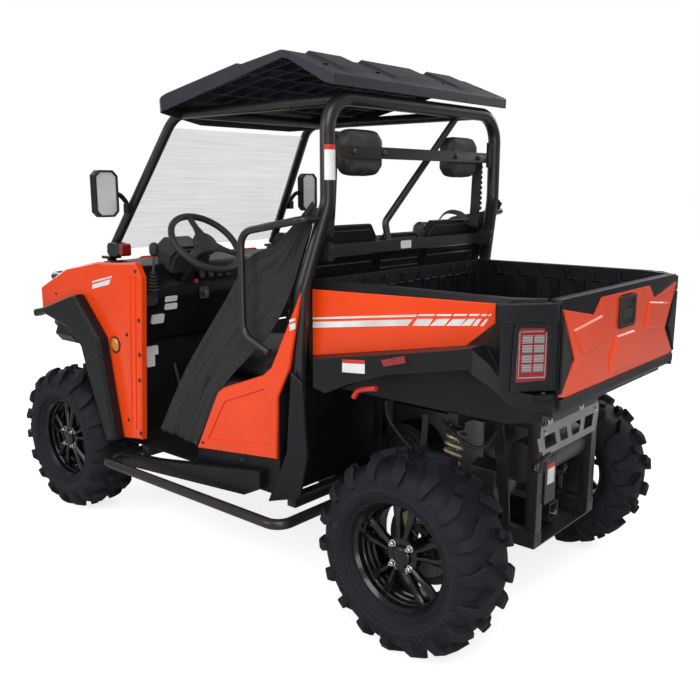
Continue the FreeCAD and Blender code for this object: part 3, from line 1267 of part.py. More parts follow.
def tailgate_ears():
    """Ears of the bed that hold the tailgate's pins."""
    pieces = []
    for side in (-1, 1):
        inner = q.tailgate_half_width + q.moving_clearance
        ear = doc.addObject("Part::Box", "tailgate_ear_%d" % (side + 1))
        ear.setExpression("Length", ex("{tailgate_ear}"))
        ear.setExpression("Width", ex("{tailgate_thickness} * 2 + {moving_clearance}"))
        ear.setExpression("Height", ex("{tailgate_thickness}"))
        left = inner if side > 0 else -inner - q.tailgate_ear
        ear.Placement.Base = V(left, (REAR_AXLE + q.bed_rear_aft) - q.tailgate_thickness, q.tailgate_low)
        pieces.append(ear)
        pieces.append(rod("tailgate_pin_%d" % (side + 1),
                          GATE_HINGE + V(side * (inner + q.tailgate_ear / 2), 0, 0),
                          GATE_HINGE + V(side * (inner - q.tailgate_pin_depth), 0, 0),
                          "{tailgate_pin_radius}"))
    return pieces


def tailgate():
    """Gate with a round lower edge about its hinge, and its outer skin."""
    front = (REAR_AXLE + q.bed_rear_aft) + q.moving_clearance
    back = front + q.tailgate_thickness
    side = [(front, q.tailgate_low), (back, q.tailgate_low), (back, q.bed_rail_height),
            (front, q.bed_rail_height)]
    edge = q.tailgate_thickness * 0.49
    slab = padded_body("tailgate_slab", "YZ_Plane", outline(side, [edge, edge, 0, 0]),
                       "-{tailgate_half_width}", "{tailgate_half_width} * 2")
    bores = [rod("tailgate_bore_%d" % (way + 1),
                 GATE_HINGE + V(way * (q.tailgate_half_width + q.moving_clearance), 0, 0),
                 GATE_HINGE + V(way * (q.tailgate_half_width - q.tailgate_pin_depth), 0, 0),
                 "{tailgate_pin_radius} + {seat_clearance}") for way in (-1, 1)]
    gate = doc.addObject("Part::Cut", "tailgate")
    gate.Base = slab
    gate.Tool = fuse("tailgate_bores", bores)
    keep("tailgate", gate)
    inset = q.tailgate_border
    skin = [(back + q.seat_clearance, q.tailgate_low + inset),
            (back + q.tailgate_skin, q.tailgate_low + inset * 2),
            (back + q.tailgate_skin, q.bed_rail_height - inset * 2),
            (back + q.seat_clearance, q.bed_rail_height - inset)]
    keep("tailgate_skin", padded_body("tailgate_skin", "YZ_Plane", outline(skin),
                                      "-{tailgate_half_width} + {tailgate_border}",
                                      "({tailgate_half_width} - {tailgate_border}) * 2"))


for hand_side, hand_name in ((1, "left"), (-1, "right")):
    knuckle("knuckle_" + hand_name, hand_side)
front_arms()
rear_arms()
shocks()
chassis()
deck_frame()
rear_hoop()
front_pillars()
headrests()
roof()
windshield()
cab()
dashboard()
cushions()
steering_wheel()
bodywork()
bars()
side_hoops()
mirrors()
drivetrain()
bed()
tailgate()


def check_and_write():
    doc.recompute()
    for item in doc.Objects:
        if "Invalid" in item.State or "Error" in item.State:
            raise ValueError("failed: %s" % item.Label)
    for label, item in NODES.items():
        shape = item.Shape
        if shape.isNull() or not shape.isValid():
            raise ValueError("bad shape: %s" % label)
    os.makedirs("parts", exist_ok=True)
    for label, item in NODES.items():
        item.Shape.exportStep("parts/%s.step" % label)
        room = item.Shape.BoundBox
        print("%-18s %d  %8.3f l  x %5.0f %5.0f  y %5.0f %5.0f  z %5.0f %5.0f"
              % (label, len(item.Shape.Solids), item.Shape.Volume / 1e6, room.XMin, room.XMax,
                 room.YMin, room.YMax, room.ZMin, room.ZMax))


check_and_write()
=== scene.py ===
import json
import math

import bmesh
import bpy
from mathutils import Matrix, Vector

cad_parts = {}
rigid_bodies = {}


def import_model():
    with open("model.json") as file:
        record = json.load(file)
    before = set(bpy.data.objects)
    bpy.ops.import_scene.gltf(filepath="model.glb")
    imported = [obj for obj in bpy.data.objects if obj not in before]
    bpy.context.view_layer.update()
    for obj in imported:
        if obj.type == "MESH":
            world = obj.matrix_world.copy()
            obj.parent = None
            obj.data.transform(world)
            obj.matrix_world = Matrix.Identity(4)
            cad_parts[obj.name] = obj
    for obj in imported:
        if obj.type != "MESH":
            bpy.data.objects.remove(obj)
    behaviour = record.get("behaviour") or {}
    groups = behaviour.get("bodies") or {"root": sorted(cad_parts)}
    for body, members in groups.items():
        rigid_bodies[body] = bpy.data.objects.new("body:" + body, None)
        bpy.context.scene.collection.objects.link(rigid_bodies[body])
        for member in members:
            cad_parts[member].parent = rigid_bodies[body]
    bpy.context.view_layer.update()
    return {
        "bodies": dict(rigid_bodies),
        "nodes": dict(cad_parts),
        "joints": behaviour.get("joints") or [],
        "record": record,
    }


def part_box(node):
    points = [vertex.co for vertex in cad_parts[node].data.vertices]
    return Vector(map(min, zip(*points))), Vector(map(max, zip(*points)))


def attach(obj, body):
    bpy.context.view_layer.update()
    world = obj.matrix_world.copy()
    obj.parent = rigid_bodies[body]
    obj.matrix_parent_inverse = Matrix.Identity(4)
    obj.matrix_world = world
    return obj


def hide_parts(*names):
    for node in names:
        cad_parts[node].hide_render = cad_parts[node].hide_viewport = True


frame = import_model()
NODES = frame["nodes"]

# Camera: where it stands, which way it looks (degrees) and its lens on the 36 mm sensor
CAMERA_PLACE = Vector((2.5175, 2.4046, 1.4652))
CAMERA_AZIMUTH = 130.55
CAMERA_ELEVATION = 11.385
CAMERA_LENS = 41.84

# Lamps: name, place, size, power in watts, all aimed at the middle of the object
LAMPS = (
    ("key_lamp", (3.4, 3.2, 4.6), 3.2, 150.0),
    ("side_lamp", (5.2, -1.6, 3.0), 3.0, 90.0),
    ("front_lamp", (-1.0, -5.4, 3.4), 3.0, 90.0),
    ("far_lamp", (-5.0, 1.2, 3.6), 3.0, 90.0),
    ("low_lamp", (3.6, 4.4, 0.7), 1.8, 40.0),
)
LAMP_AIM = Vector((0.0, 0.0, 0.9))
SKY_LIGHT = 0.36
FLOOR_SIZE = 40.0
FLOOR_COLOUR = (0.62, 0.62, 0.62, 1.0)
FLOOR_GLOW = 0.80


def material(name, colour, rough, metal=0.0, coat=0.0, coat_rough=0.1, shine=0.5):
    """A material with its shader's plain values set on its own sockets."""
    made = bpy.data.materials.new(name)
    made.use_nodes = True
    shader = made.node_tree.nodes["Principled BSDF"]
    shader.inputs["Base Color"].default_value = (*colour, 1.0)
    shader.inputs["Roughness"].default_value = rough
    shader.inputs["Metallic"].default_value = metal
    shader.inputs["Specular IOR Level"].default_value = shine
    shader.inputs["Coat Weight"].default_value = coat
    shader.inputs["Coat Roughness"].default_value = coat_rough
    made.diffuse_color = (*colour, 1.0)
    return made


def add_node(made, kind, **values):
    """A node of this kind, with sockets given by name and other settings by attribute."""
    node = made.node_tree.nodes.new(kind)
    for name, value in values.items():
        socket = name.replace("_", " ").title()
        if socket in node.inputs:
            node.inputs[socket].default_value = value
        else:
            setattr(node, name, value)
    return node


def link(made, source, output, target, socket):
    made.node_tree.links.new(source.outputs[output], target.inputs[socket])


def place_of(made, stretch=(1.0, 1.0, 1.0)):
    """The object's own coordinates, stretched along each axis."""
    coordinates = add_node(made, "ShaderNodeTexCoord")
    mapping = add_node(made, "ShaderNodeMapping")
    mapping.inputs["Scale"].default_value = stretch
    link(made, coordinates, "Object", mapping, "Vector")
    return mapping


def noise_of(made, place, scale, detail=4.0, rough=0.5):
    """Noise over an object's own coordinates."""
    node = add_node(made, "ShaderNodeTexNoise", scale=scale, detail=detail, roughness=rough)
    link(made, place, "Vector", node, "Vector")
    return node


def ramp_of(made, source, output, stops):
    """A colour ramp through (place, colour) stops; a plain number is a grey."""
    node = add_node(made, "ShaderNodeValToRGB")
    elements = node.color_ramp.elements
    while len(elements) < len(stops):
        elements.new(0.5)
    for element, (spot, colour) in zip(elements, stops):
        element.position = spot
        element.color = (*colour, 1.0) if isinstance(colour, tuple) else (colour,) * 3 + (1.0,)
    link(made, source, output, node, "Fac")
    return node


def mix_of(made, share, base, colour):
    """A plain colour mixed over a base; share and base are (node, output) pairs."""
    node = add_node(made, "ShaderNodeMix", data_type="RGBA")
    link(made, *share, node, 0)
    link(made, *base, node, 6)
    node.inputs[7].default_value = (*colour, 1.0)
    return node


def shade(colour, share):
    """A colour made darker or paler."""
    return tuple(min(1.0, share * part) for part in colour)


def bump_of(made, source, output, strength, distance):
    node = add_node(made, "ShaderNodeBump", strength=strength, distance=distance)
    link(made, source, output, node, "Height")
    return node


def edge_of(made, radius):
    """One along edges and zero on the flat: where a rounded normal leaves the true one. It marks
    edge wear, and on the tyre a painted highlight.
    """
    bevel = add_node(made, "ShaderNodeBevel", radius=radius)
    bevel.samples = 4
    true = add_node(made, "ShaderNodeNewGeometry")
    dot = add_node(made, "ShaderNodeVectorMath", operation="DOT_PRODUCT")
    link(made, bevel, "Normal", dot, 0)
    link(made, true, "Normal", dot, 1)
    return ramp_of(made, dot, "Value", ((0.8, 1.0), (0.985, 0.0)))


def finish_of(made, colour, rough_range, normal):
    """Joins colour, a roughness ramp and the normal to the shader."""
    shader = made.node_tree.nodes["Principled BSDF"]
    made.node_tree.links.new(colour, shader.inputs["Base Color"])
    if rough_range:
        made.node_tree.links.new(rough_range, shader.inputs["Roughness"])
    link(made, normal, "Normal", shader, "Normal")


def dusty_plastic(name, colour, rough, grain_scale, grain_depth, edge_colour, shine=0.5):
    """Moulded plastic: fine grain, slow colour drift, pale scuffs of wear on its edges."""
    made = material(name, colour, rough, shine=shine)
    place = place_of(made)
    drift = noise_of(made, place, 7.0, 5.0)
    tint = ramp_of(made, drift, "Fac", ((0.3, shade(colour, 0.82)), (0.7, shade(colour, 1.2))))
    edge_mask = edge_of(made, 0.004)
    scuff = noise_of(made, place, 90.0, 3.0)
    wear = add_node(made, "ShaderNodeMath", operation="MULTIPLY")
    link(made, edge_mask, "Color", wear, 0)
    link(made, scuff, "Fac", wear, 1)
    body = mix_of(made, (wear, "Value"), (tint, "Color"), edge_colour)
    grain = noise_of(made, place, grain_scale, 2.0)
    gloss = ramp_of(made, drift, "Fac", ((0.25, rough * 0.85), (0.75, min(1.0, rough * 1.2))))
    finish_of(made, body.outputs[2], gloss.outputs["Color"],
              bump_of(made, grain, "Fac", 0.35, grain_depth))
    return made


def orange_panel():
    """Glossy moulded orange with a faint ripple and hairline marks."""
    colour = (0.92, 0.066, 0.006)
    made = material("orange_panel", colour, 0.24, coat=0.32, coat_rough=0.08, shine=0.3)
    place = place_of(made)
    drift = noise_of(made, place, 3.0, 4.0)
    tint = ramp_of(made, drift, "Fac", ((0.3, (0.86, 0.056, 0.005)), (0.7, (0.96, 0.074, 0.008))))
    edge_mask = edge_of(made, 0.003)
    body = mix_of(made, (edge_mask, "Color"), (tint, "Color"), (0.96, 0.11, 0.022))
    marks = noise_of(made, place_of(made, (30.0, 900.0, 260.0)), 1.0, 2.0)
    gloss = ramp_of(made, marks, "Fac", ((0.35, 0.22), (0.8, 0.27)))
    ripple = noise_of(made, place, 220.0, 1.0)
    finish_of(made, body.outputs[2], gloss.outputs["Color"],
              bump_of(made, ripple, "Fac", 0.05, 0.0006))
    return made


def tyre_rubber():
    """Dark blue-black rubber with fine texture, random tone and a painted highlight along its
    edges.
    """
    made = material("tyre_rubber", (0.008, 0.009, 0.012), 0.72, shine=0.3)
    place = place_of(made)
    drift = noise_of(made, place, 9.0, 6.0, 0.6)
    tint = ramp_of(made, drift, "Fac", ((0.35, (0.005, 0.006, 0.009)), (0.75,
                                                                        (0.013, 0.015, 0.021))))
    # Painted highlight: the edges are mixed to a paler blue-grey that stands in for light caught on
    # them.
    edge_mask = edge_of(made, 0.003)
    body = mix_of(made, (edge_mask, "Color"), (tint, "Color"), (0.040, 0.043, 0.054))
    gloss = ramp_of(made, drift, "Fac", ((0.3, 0.55), (0.7, 0.82)))
    grain = noise_of(made, place, 420.0, 3.0)
    finish_of(made, body.outputs[2], gloss.outputs["Color"],
              bump_of(made, grain, "Fac", 0.4, 0.0009))
    return made


def metal_finish(name, colour, rough, metal, stretch, coat=0.0, depth=0.0004):
    """Metal or paint over metal: directional grain in gloss and bump."""
    made = material(name, colour, rough, metal=metal, coat=coat)
    place = place_of(made, stretch)
    grain = noise_of(made, place, 60.0, 5.0, 0.6)
    slow = noise_of(made, place_of(made), 6.0, 3.0)
    tint = ramp_of(made, slow, "Fac", ((0.3, shade(colour, 0.8)), (0.7, shade(colour, 1.18))))
    edge_mask = edge_of(made, 0.002)
    pale = tuple(min(1.0, part * 1.6 + 0.02) for part in colour)
    body = mix_of(made, (edge_mask, "Color"), (tint, "Color"), pale)
    gloss = ramp_of(made, grain, "Fac", ((0.3, rough * 0.75), (0.7, min(1.0, rough * 1.3))))
    finish_of(made, body.outputs[2], gloss.outputs["Color"],
              bump_of(made, grain, "Fac", 0.25, depth))
    return made


def cushion_cover():
    """Black vinyl with a leather grain of small cells."""
    made = material("cushion_cover", (0.022, 0.021, 0.022), 0.5)
    place = place_of(made)
    cells = add_node(made, "ShaderNodeTexVoronoi", scale=520.0)
    link(made, place, "Vector", cells, "Vector")
    drift = noise_of(made, place, 11.0, 4.0)
    tint = ramp_of(made, drift, "Fac", ((0.3, (0.016, 0.015, 0.016)), (0.7, (0.036, 0.034, 0.035))))
    gloss = ramp_of(made, cells, "Distance", ((0.1, 0.42), (0.6, 0.62)))
    finish_of(made, tint.outputs["Color"], gloss.outputs["Color"],
              bump_of(made, cells, "Distance", 0.5, 0.0007))
    return made


def clear_screen():
    """Thin clear polycarbonate, slightly milky, with faint level wipe marks."""
    made = material("clear_screen", (0.80, 0.82, 0.84), 0.04, coat=0.3)
    shader = made.node_tree.nodes["Principled BSDF"]
    shader.inputs["Transmission Weight"].default_value = 0.92
    shader.inputs["IOR"].default_value = 1.12
    marks = noise_of(made, place_of(made, (1.5, 60.0, 60.0)), 2.0, 3.0)
    tint = ramp_of(made, marks, "Fac", ((0.35, (0.74, 0.76, 0.78)), (0.7, (0.88, 0.89, 0.90))))
    gloss = ramp_of(made, marks, "Fac", ((0.4, 0.03), (0.75, 0.14)))
    finish_of(made, tint.outputs["Color"], gloss.outputs["Color"],
              bump_of(made, marks, "Fac", 0.05, 0.0004))
    return made


def lens(name, colour, through):
    """Moulded lamp lens with fine ribs."""
    made = material(name, colour, 0.12, coat=0.8, coat_rough=0.04)
    shader = made.node_tree.nodes["Principled BSDF"]
    shader.inputs["Transmission Weight"].default_value = through
    ribs = add_node(made, "ShaderNodeTexWave", scale=42.0, distortion=0.2)
    ribs.bands_direction = "Z"
    link(made, place_of(made), "Vector", ribs, "Vector")
    tint = ramp_of(made, ribs, "Fac", ((0.2, shade(colour, 0.72)), (0.8, shade(colour, 1.15))))
    finish_of(made, tint.outputs["Color"], None, bump_of(made, ribs, "Fac", 0.3, 0.0012))
    return made


def woven(name, colour, scale):
    """Webbing or mesh with a fine over-and-under weave."""
    made = material(name, colour, 0.8)
    warp = add_node(made, "ShaderNodeTexWave", scale=scale)
    weft = add_node(made, "ShaderNodeTexWave", scale=scale)
    weft.bands_direction = "Z"
    place = place_of(made)
    link(made, place, "Vector", warp, "Vector")
    link(made, place, "Vector", weft, "Vector")
    cross = add_node(made, "ShaderNodeMath", operation="MULTIPLY")
    link(made, warp, "Fac", cross, 0)
    link(made, weft, "Fac", cross, 1)
    tint = ramp_of(made, cross, "Value", ((0.1, shade(colour, 0.6)), (0.8, shade(colour, 1.5))))
    finish_of(made, tint.outputs["Color"], None, bump_of(made, cross, "Value", 0.5, 0.0008))
    return made


FINISHES = {
    "orange_panel": orange_panel(),
    "black_plastic": dusty_plastic("black_plastic", (0.007, 0.0075, 0.009), 0.40, 900.0, 0.0005,
                                   (0.060, 0.062, 0.076), shine=0.28),
    "roof_plastic": dusty_plastic("roof_plastic", (0.017, 0.020, 0.029), 0.46, 800.0, 0.0005,
                                  (0.09, 0.095, 0.12), shine=0.4),
    "frame_paint": metal_finish("frame_paint", (0.022, 0.020, 0.018), 0.36, 0.25,
                                (6.0, 6.0, 6.0), coat=0.2),
    "tyre_rubber": tyre_rubber(),
    "rim_alloy": metal_finish("rim_alloy", (0.009, 0.009, 0.011), 0.26, 0.5, (3.0, 3.0, 3.0),
                              coat=0.4, depth=0.0001),
    "cushion_cover": cushion_cover(),
    "clear_screen": clear_screen(),
    "bare_metal": metal_finish("bare_metal", (0.15, 0.15, 0.155), 0.42, 0.9, (9.0, 9.0, 9.0),
                               depth=0.0009),
    "steel_plate": metal_finish("steel_plate", (0.42, 0.40, 0.38), 0.34, 0.9, (2.0, 40.0, 40.0)),
    "spring_steel": metal_finish("spring_steel", (0.52, 0.46, 0.26), 0.35, 0.2, (4.0, 4.0, 4.0),
                                 coat=0.4),
    "red_lens": lens("red_lens", (0.36, 0.010, 0.010), 0.25),
    "grip_plastic": dusty_plastic("grip_plastic", (0.018, 0.018, 0.019), 0.58, 700.0, 0.0006,
                                  (0.05, 0.05, 0.055)),
}
EXTRA = {
    "white_label": dusty_plastic("white_label", (0.80, 0.80, 0.79), 0.42, 300.0, 0.0001,
                                 (0.9, 0.9, 0.9)),
    "red_label": dusty_plastic("red_label", (0.60, 0.03, 0.02), 0.35, 300.0, 0.0001,
                               (0.7, 0.1, 0.1)),
    "amber_lens": lens("amber_lens", (0.85, 0.26, 0.02), 0.2),
    "clear_lens": lens("clear_lens", (0.62, 0.60, 0.60), 0.62),
    "chrome": metal_finish("chrome", (0.62, 0.62, 0.63), 0.16, 1.0, (5.0, 5.0, 5.0)),
    # Mirror glass is only half metal: its pale grey diffuse colour is a painted reflection of the
    # white surroundings.
    "mirror_glass": metal_finish("mirror_glass", (0.86, 0.87, 0.87), 0.08, 0.45,
                                 (1.0, 1.0, 1.0), depth=0.00005),
    "webbing": woven("webbing", (0.020, 0.020, 0.022), 160.0),
    "net_mesh": woven("net_mesh", (0.026, 0.024, 0.024), 240.0),
}
LOOKS = {**FINISHES, **EXTRA}
SLOTS = {row["node"]: row["material_slot"] for row in frame["record"]["subparts"]}


# Frames for flat outlines: side view (y, z, out along x), rear view (x, z, along y), plan
SIDE = Matrix(((0, 0, 1, 0), (1, 0, 0, 0), (0, 1, 0, 0), (0, 0, 0, 1)))
REAR = Matrix(((1, 0, 0, 0), (0, 0, 1, 0), (0, 1, 0, 0), (0, 0, 0, 1)))
PLAN = Matrix.Identity(4)
SMOOTH_ANGLE = math.radians(35)


def frame_at(origin, across, up):
    """Frame whose plane goes through a point along two directions, with its normal outward."""
    first = Vector(across).normalized()
    normal = first.cross(Vector(up)).normalized()
    second = normal.cross(first)
    made = Matrix((first, second, normal)).transposed().to_4x4()
    made.translation = Vector(origin)
    return made


def rectangle(left, right, low, high):
    return [(left, low), (right, low), (right, high), (left, high)]


def prism(bm, points, low, high, frame=PLAN):
    """A flat outline drawn out from one height to another."""
    count = len(points)
    rings = [[bm.verts.new(frame @ Vector((across, up, level))) for across, up in points]
             for level in (low, high)]
    bm.faces.new(rings[0][::-1])
    bm.faces.new(rings[1])
    for place in range(count):
        after = (place + 1) % count
        bm.faces.new((rings[0][place], rings[0][after], rings[1][after], rings[1][place]))


def collar(bm, outer, inner, low, high, frame):
    """The strip between two outlines of as many points, drawn out from one height to another."""
    for before in range(len(outer)):
        after = (before + 1) % len(outer)
        prism(bm, [outer[before], outer[after], inner[after], inner[before]], low, high, frame)


def block(bm, centre, size, turn=PLAN):
    bmesh.ops.create_cube(bm, size=1.0, matrix=Matrix.Translation(centre) @ turn
                          @ Matrix.Diagonal((*size, 1.0)))


def bar(bm, start, end, radius, sides=16, end_radius=None):
    """A round bar or cone between two points."""
    start = Vector(start)
    line = Vector(end) - start
    turn = line.to_track_quat("Z", "Y").to_matrix().to_4x4()
    bmesh.ops.create_cone(bm, cap_ends=True, segments=sides, radius1=radius,
                          radius2=radius if end_radius is None else end_radius,
                          depth=line.length, matrix=Matrix.Translation(start + line / 2) @ turn)


def turned(bm, profile, origin=(0, 0, 0), axis=(1, 0, 0), sides=48, closed=True):
    """A profile of (along, radius) points turned about an axis."""
    frame = Matrix.Translation(origin) @ Vector(axis).to_track_quat("Z", "Y").to_matrix().to_4x4()
    rings = []
    for along, radius in profile:
        ring = []
        for place in range(sides):
            angle = 2 * math.pi * place / sides
            ring.append(bm.verts.new(frame @ Vector((radius * math.cos(angle),
                                                     radius * math.sin(angle), along))))
        rings.append(ring)
    join_rings(bm, rings, closed)


def join_rings(bm, rings, closed):
    """Faces between rings of points; open rows of rings get a cap at each end."""
    count = len(rings[0])
    pairs = list(zip(rings, rings[1:]))
    if closed:
        pairs.append((rings[-1], rings[0]))
    else:
        bm.faces.new(rings[0][::-1])
        bm.faces.new(rings[-1])
    for first, second in pairs:
        for place in range(count):
            after = (place + 1) % count
            bm.faces.new((first[place], first[after], second[after], second[place]))


def circle(radius, sides=12):
    return [(radius * math.cos(2 * math.pi * place / sides),
             radius * math.sin(2 * math.pi * place / sides)) for place in range(sides)]


def oblong(width, depth, corner):
    """Rectangle with its corners cut, as (across, up) points about its centre."""
    half = width / 2
    high = depth / 2
    return [(-half + corner, -high), (half - corner, -high), (half, -high + corner),
            (half, high - corner), (half - corner, high), (-half + corner, high),
            (-half, high - corner), (-half, -high + corner)]


def sweep(bm, path, section, up=(0.0, 0.0, 1.0)):
    """A section of (across, up) points carried along a path."""
    level = Vector(up)
    rings = []
    for place, point in enumerate(path):
        before = path[max(0, place - 1)]
        after = path[min(len(path) - 1, place + 1)]
        along = (after - before).normalized()
        side = along.cross(level).normalized()
        level = side.cross(along).normalized()
        rings.append([bm.verts.new(point + side * across + level * rise)
                      for across, rise in section])
    join_rings(bm, rings, False)


def smooth_path(points, steps):
    """A smooth run through given points."""
    points = [Vector(point) for point in points]
    made = []
    for place in range(len(points) - 1):
        first = points[max(0, place - 1)]
        start, end = points[place:place + 2]
        last = points[min(len(points) - 1, place + 2)]
        for step in range(steps):
            part = step / steps
            made.append(0.5 * (2 * start + (end - first) * part
                               + (2 * first - 5 * start + 4 * end - last) * part ** 2
                               + (3 * start - first - 3 * end + last) * part ** 3))
    return made + [points[-1]]


def tube(bm, points, radius, steps, sides):
    """A round run through given points."""
    sweep(bm, smooth_path(points, steps), circle(radius, sides))


def bolt(bm, place, out, radius=0.007, height=0.006):
    """Hexagon head on its washer."""
    place = Vector(place)
    out = Vector(out).normalized()
    bar(bm, place - out * 0.001, place + out * 0.0018, radius * 1.45, 20)
    bar(bm, place, place + out * height, radius, 6, radius * 0.92)


def screw(bm, place, out, radius=0.006):
    """Low round head with a sunk middle."""
    profile = [(-0.001, radius), (0.0012, radius), (0.0028, radius * 0.7), (0.003, radius * 0.45),
               (0.0012, radius * 0.32)]
    turned(bm, profile, Vector(place), Vector(out), 16, False)


def add_twin(bm):
    """Adds the right-hand copy of everything so far."""
    made = bmesh.ops.duplicate(bm, geom=bm.verts[:] + bm.edges[:] + bm.faces[:])["geom"]
    for item in made:
        if isinstance(item, bmesh.types.BMVert):
            item.co.x = -item.co.x
    bmesh.ops.reverse_faces(bm, faces=[item for item in made
                                       if isinstance(item, bmesh.types.BMFace)])


def mesh_of(name, bm):
    bmesh.ops.recalc_face_normals(bm, faces=bm.faces)
    mesh = bpy.data.meshes.new(name)
    bm.to_mesh(mesh)
    bm.free()
    return mesh


def object_of(name, data):
    made = bpy.data.objects.new(name, data)
    bpy.context.scene.collection.objects.link(made)
    return made


def soften(piece, width, angle):
    """Rounds the edges that turn by more than an angle in degrees."""
    edge = piece.modifiers.new("edge", "BEVEL")
    edge.width = width
    edge.segments = 2
    edge.limit_method = "ANGLE"
    edge.angle_limit = math.radians(angle)
    edge.harden_normals = True


def dressed(name, mesh, look, body, edge, angle, stands_for):
    """A piece in one of the looks, riding on a body."""
    mesh.materials.append(LOOKS[look])
    piece = object_of(name, mesh)
    if edge:
        soften(piece, edge, angle)
    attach(piece, body)
    if stands_for:
        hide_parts(*stands_for)
    return piece


def piece_of(name, bm, look, body="vehicle", edge=0.0, angle=30.0, stands_for=()):
    """Turns mesh data into a piece that rides on a body."""
    mesh = mesh_of(name, bm)
    mesh.shade_smooth()
    if not edge:
        mesh.set_sharp_from_angle(angle=SMOOTH_ANGLE)
    return dressed(name, mesh, look, body, edge, angle, stands_for)


def drawn_piece(name, points, low, high, frame, look, body="vehicle"):
    """A piece that is one drawn outline."""
    bm = bmesh.new()
    prism(bm, points, low, high, frame)
    piece_of(name, bm, look, body)


# Wheels: sizes in metres, about each wheel's own centre
WHEEL_RADIUS = 0.330
SECTORS = 18
RIM_HALF = 0.086
TYRE_SIDE = ((0.079, 0.1765), (0.0885, 0.181), (0.0935, 0.186), (0.0925, 0.191), (0.0945, 0.194),
             (0.101, 0.197), (0.1075, 0.206), (0.1115, 0.217), (0.1130, 0.230), (0.1120, 0.243),
             (0.1085, 0.256), (0.1035, 0.268), (0.0965, 0.280), (0.0865, 0.2895), (0.0735, 0.2965),
             (0.0570, 0.3010), (0.0390, 0.3035), (0.0200, 0.3047), (0.0, 0.3052))
LUG_TOP_EDGE = 0.003
LUG_LIFT = 1.37
# Lugs of one sector as runs of (share of the pitch, place along the section, half width, height)
LONG_LUG = ((0.20, 0.096, 0.014, 0.008), (0.20, 0.112, 0.019, 0.0140), (0.20, 0.134, 0.020, 0.0170),
            (0.19, 0.156, 0.020, 0.018), (-0.02, 0.178, 0.0175, 0.0178),
            (-0.26, 0.206, 0.013, 0.0172))
SHORT_LUG = ((0.22, 0.090, 0.012, 0.007), (0.22, 0.108, 0.021, 0.0135),
             (0.20, 0.130, 0.022, 0.0170), (0.06, 0.156, 0.0195, 0.018),
             (0.02, 0.164, 0.0185, 0.018))
MIDDLE_LUG = ((-0.10, 0.184, 0.0150, 0.0175), (-0.24, 0.202, 0.0155, 0.0172))
SIDE_RIDGES = (((0.52, 0.096, 0.0035, 0.004), (0.62, 0.076, 0.0035, 0.004),
                (0.78, 0.090, 0.0035, 0.004), (0.92, 0.072, 0.003, 0.003)),
               ((0.54, 0.108, 0.003, 0.004), (0.68, 0.090, 0.003, 0.004),
                (0.80, 0.104, 0.003, 0.004)),
               ((0.08, 0.088, 0.0035, 0.0035), (0.20, 0.066, 0.0035, 0.0035),
                (0.34, 0.082, 0.0035, 0.003)))


class Section:
    """Outer line of a tyre's section, walked from the bead to the middle of the tread."""

    def __init__(self, widen):
        self.points = [Vector((across * widen if across > RIM_HALF else across, radius))
                       for across, radius in TYRE_SIDE]
        self.total = sum((after - before).length
                         for before, after in zip(self.points, self.points[1:]))

    def at(self, walked):
        """Place and outward direction after walking this far; past the middle it goes on."""
        hand = 1.0
        if walked > self.total:
            walked = 2 * self.total - walked
            hand = -1.0
        for before, after in zip(self.points, self.points[1:]):
            step = (after - before).length
            if walked <= step or after is self.points[-1]:
                part = min(1.0, walked / step)
                spot = before.lerp(after, part)
                run = (after - before).normalized()
                return (Vector((spot.x * hand, spot.y)), Vector((run.y * hand, -run.x)))
            walked -= step


def lug_run(bm, section, stations, pitch_start, pitch, hand):
    """A raised run over the section: straight sides that draw in, and bevelled top edges."""
    scale = section.total / 0.2235
    middle = []
    for share, walked, half, height in stations:
        middle.append((pitch_start + share * pitch, walked * scale, half,
                       height * (LUG_LIFT if height > 0.005 else 1.0)))
    rings = []
    for place, (turn, walked, half, height) in enumerate(middle):
        before = middle[max(0, place - 1)]
        after = middle[min(len(middle) - 1, place + 1)]
        run = Vector(((after[0] - before[0]) * WHEEL_RADIUS, after[1] - before[1])).normalized()
        ring = []
        for side, level in ((-1.12, -0.004), (-1.0, height - LUG_TOP_EDGE), (-0.8, height),
                            (0.8, height), (1.0, height - LUG_TOP_EDGE), (1.12, -0.004)):
            angle = turn - run.y * side * half / WHEEL_RADIUS
            spot, out = section.at(walked + run.x * side * half)
            spot = spot + out * level
            ring.append(bm.verts.new((spot.x * hand, spot.y * math.sin(angle),
                                      spot.y * math.cos(angle))))
        rings.append(ring)
    join_rings(bm, rings, False)


def tyre_mesh(name, widen):
    """Left tyre about its own centre: carcass, lugs over both shoulders, ridges on the sides."""
    bm = bmesh.new()
    section = Section(widen)
    outer = [(point.x, point.y) for point in section.points]
    profile = outer + [(-across, radius) for across, radius in outer[-2::-1]]
    turned(bm, profile + [(-0.079, 0.1725), (0.079, 0.1725)], sides=96)
    pitch = 2 * math.pi / SECTORS
    for sector in range(SECTORS):
        for hand in (1, -1):
            start = pitch * (sector + (0.0 if hand > 0 else 0.5))
            odd = (sector + (0 if hand > 0 else 1)) % 2
            lug_run(bm, section, LONG_LUG if odd else SHORT_LUG, start, pitch, hand)
            if not odd:
                lug_run(bm, section, MIDDLE_LUG, start, pitch, hand)
            for ridge in SIDE_RIDGES[:2] if odd else SIDE_RIDGES[2:]:
                lug_run(bm, section, ridge, start, pitch, hand)
    for radius in (0.2015, 0.2275):
        across = max(point.x for point in section.points if abs(point.y - radius) < 0.011)
        turned(bm, [(across - 0.004, radius - 0.0012), (across + 0.0012, radius - 0.0007),
                    (across + 0.0012, radius + 0.0007), (across - 0.004, radius + 0.0012)],
               Vector(), Vector((1, 0, 0)), 96)
    return finished_mesh(name, bm)


def finished_mesh(name, bm):
    mesh = mesh_of(name, bm)
    mesh.shade_smooth()
    mesh.set_sharp_from_angle(angle=SMOOTH_ANGLE)
    return mesh


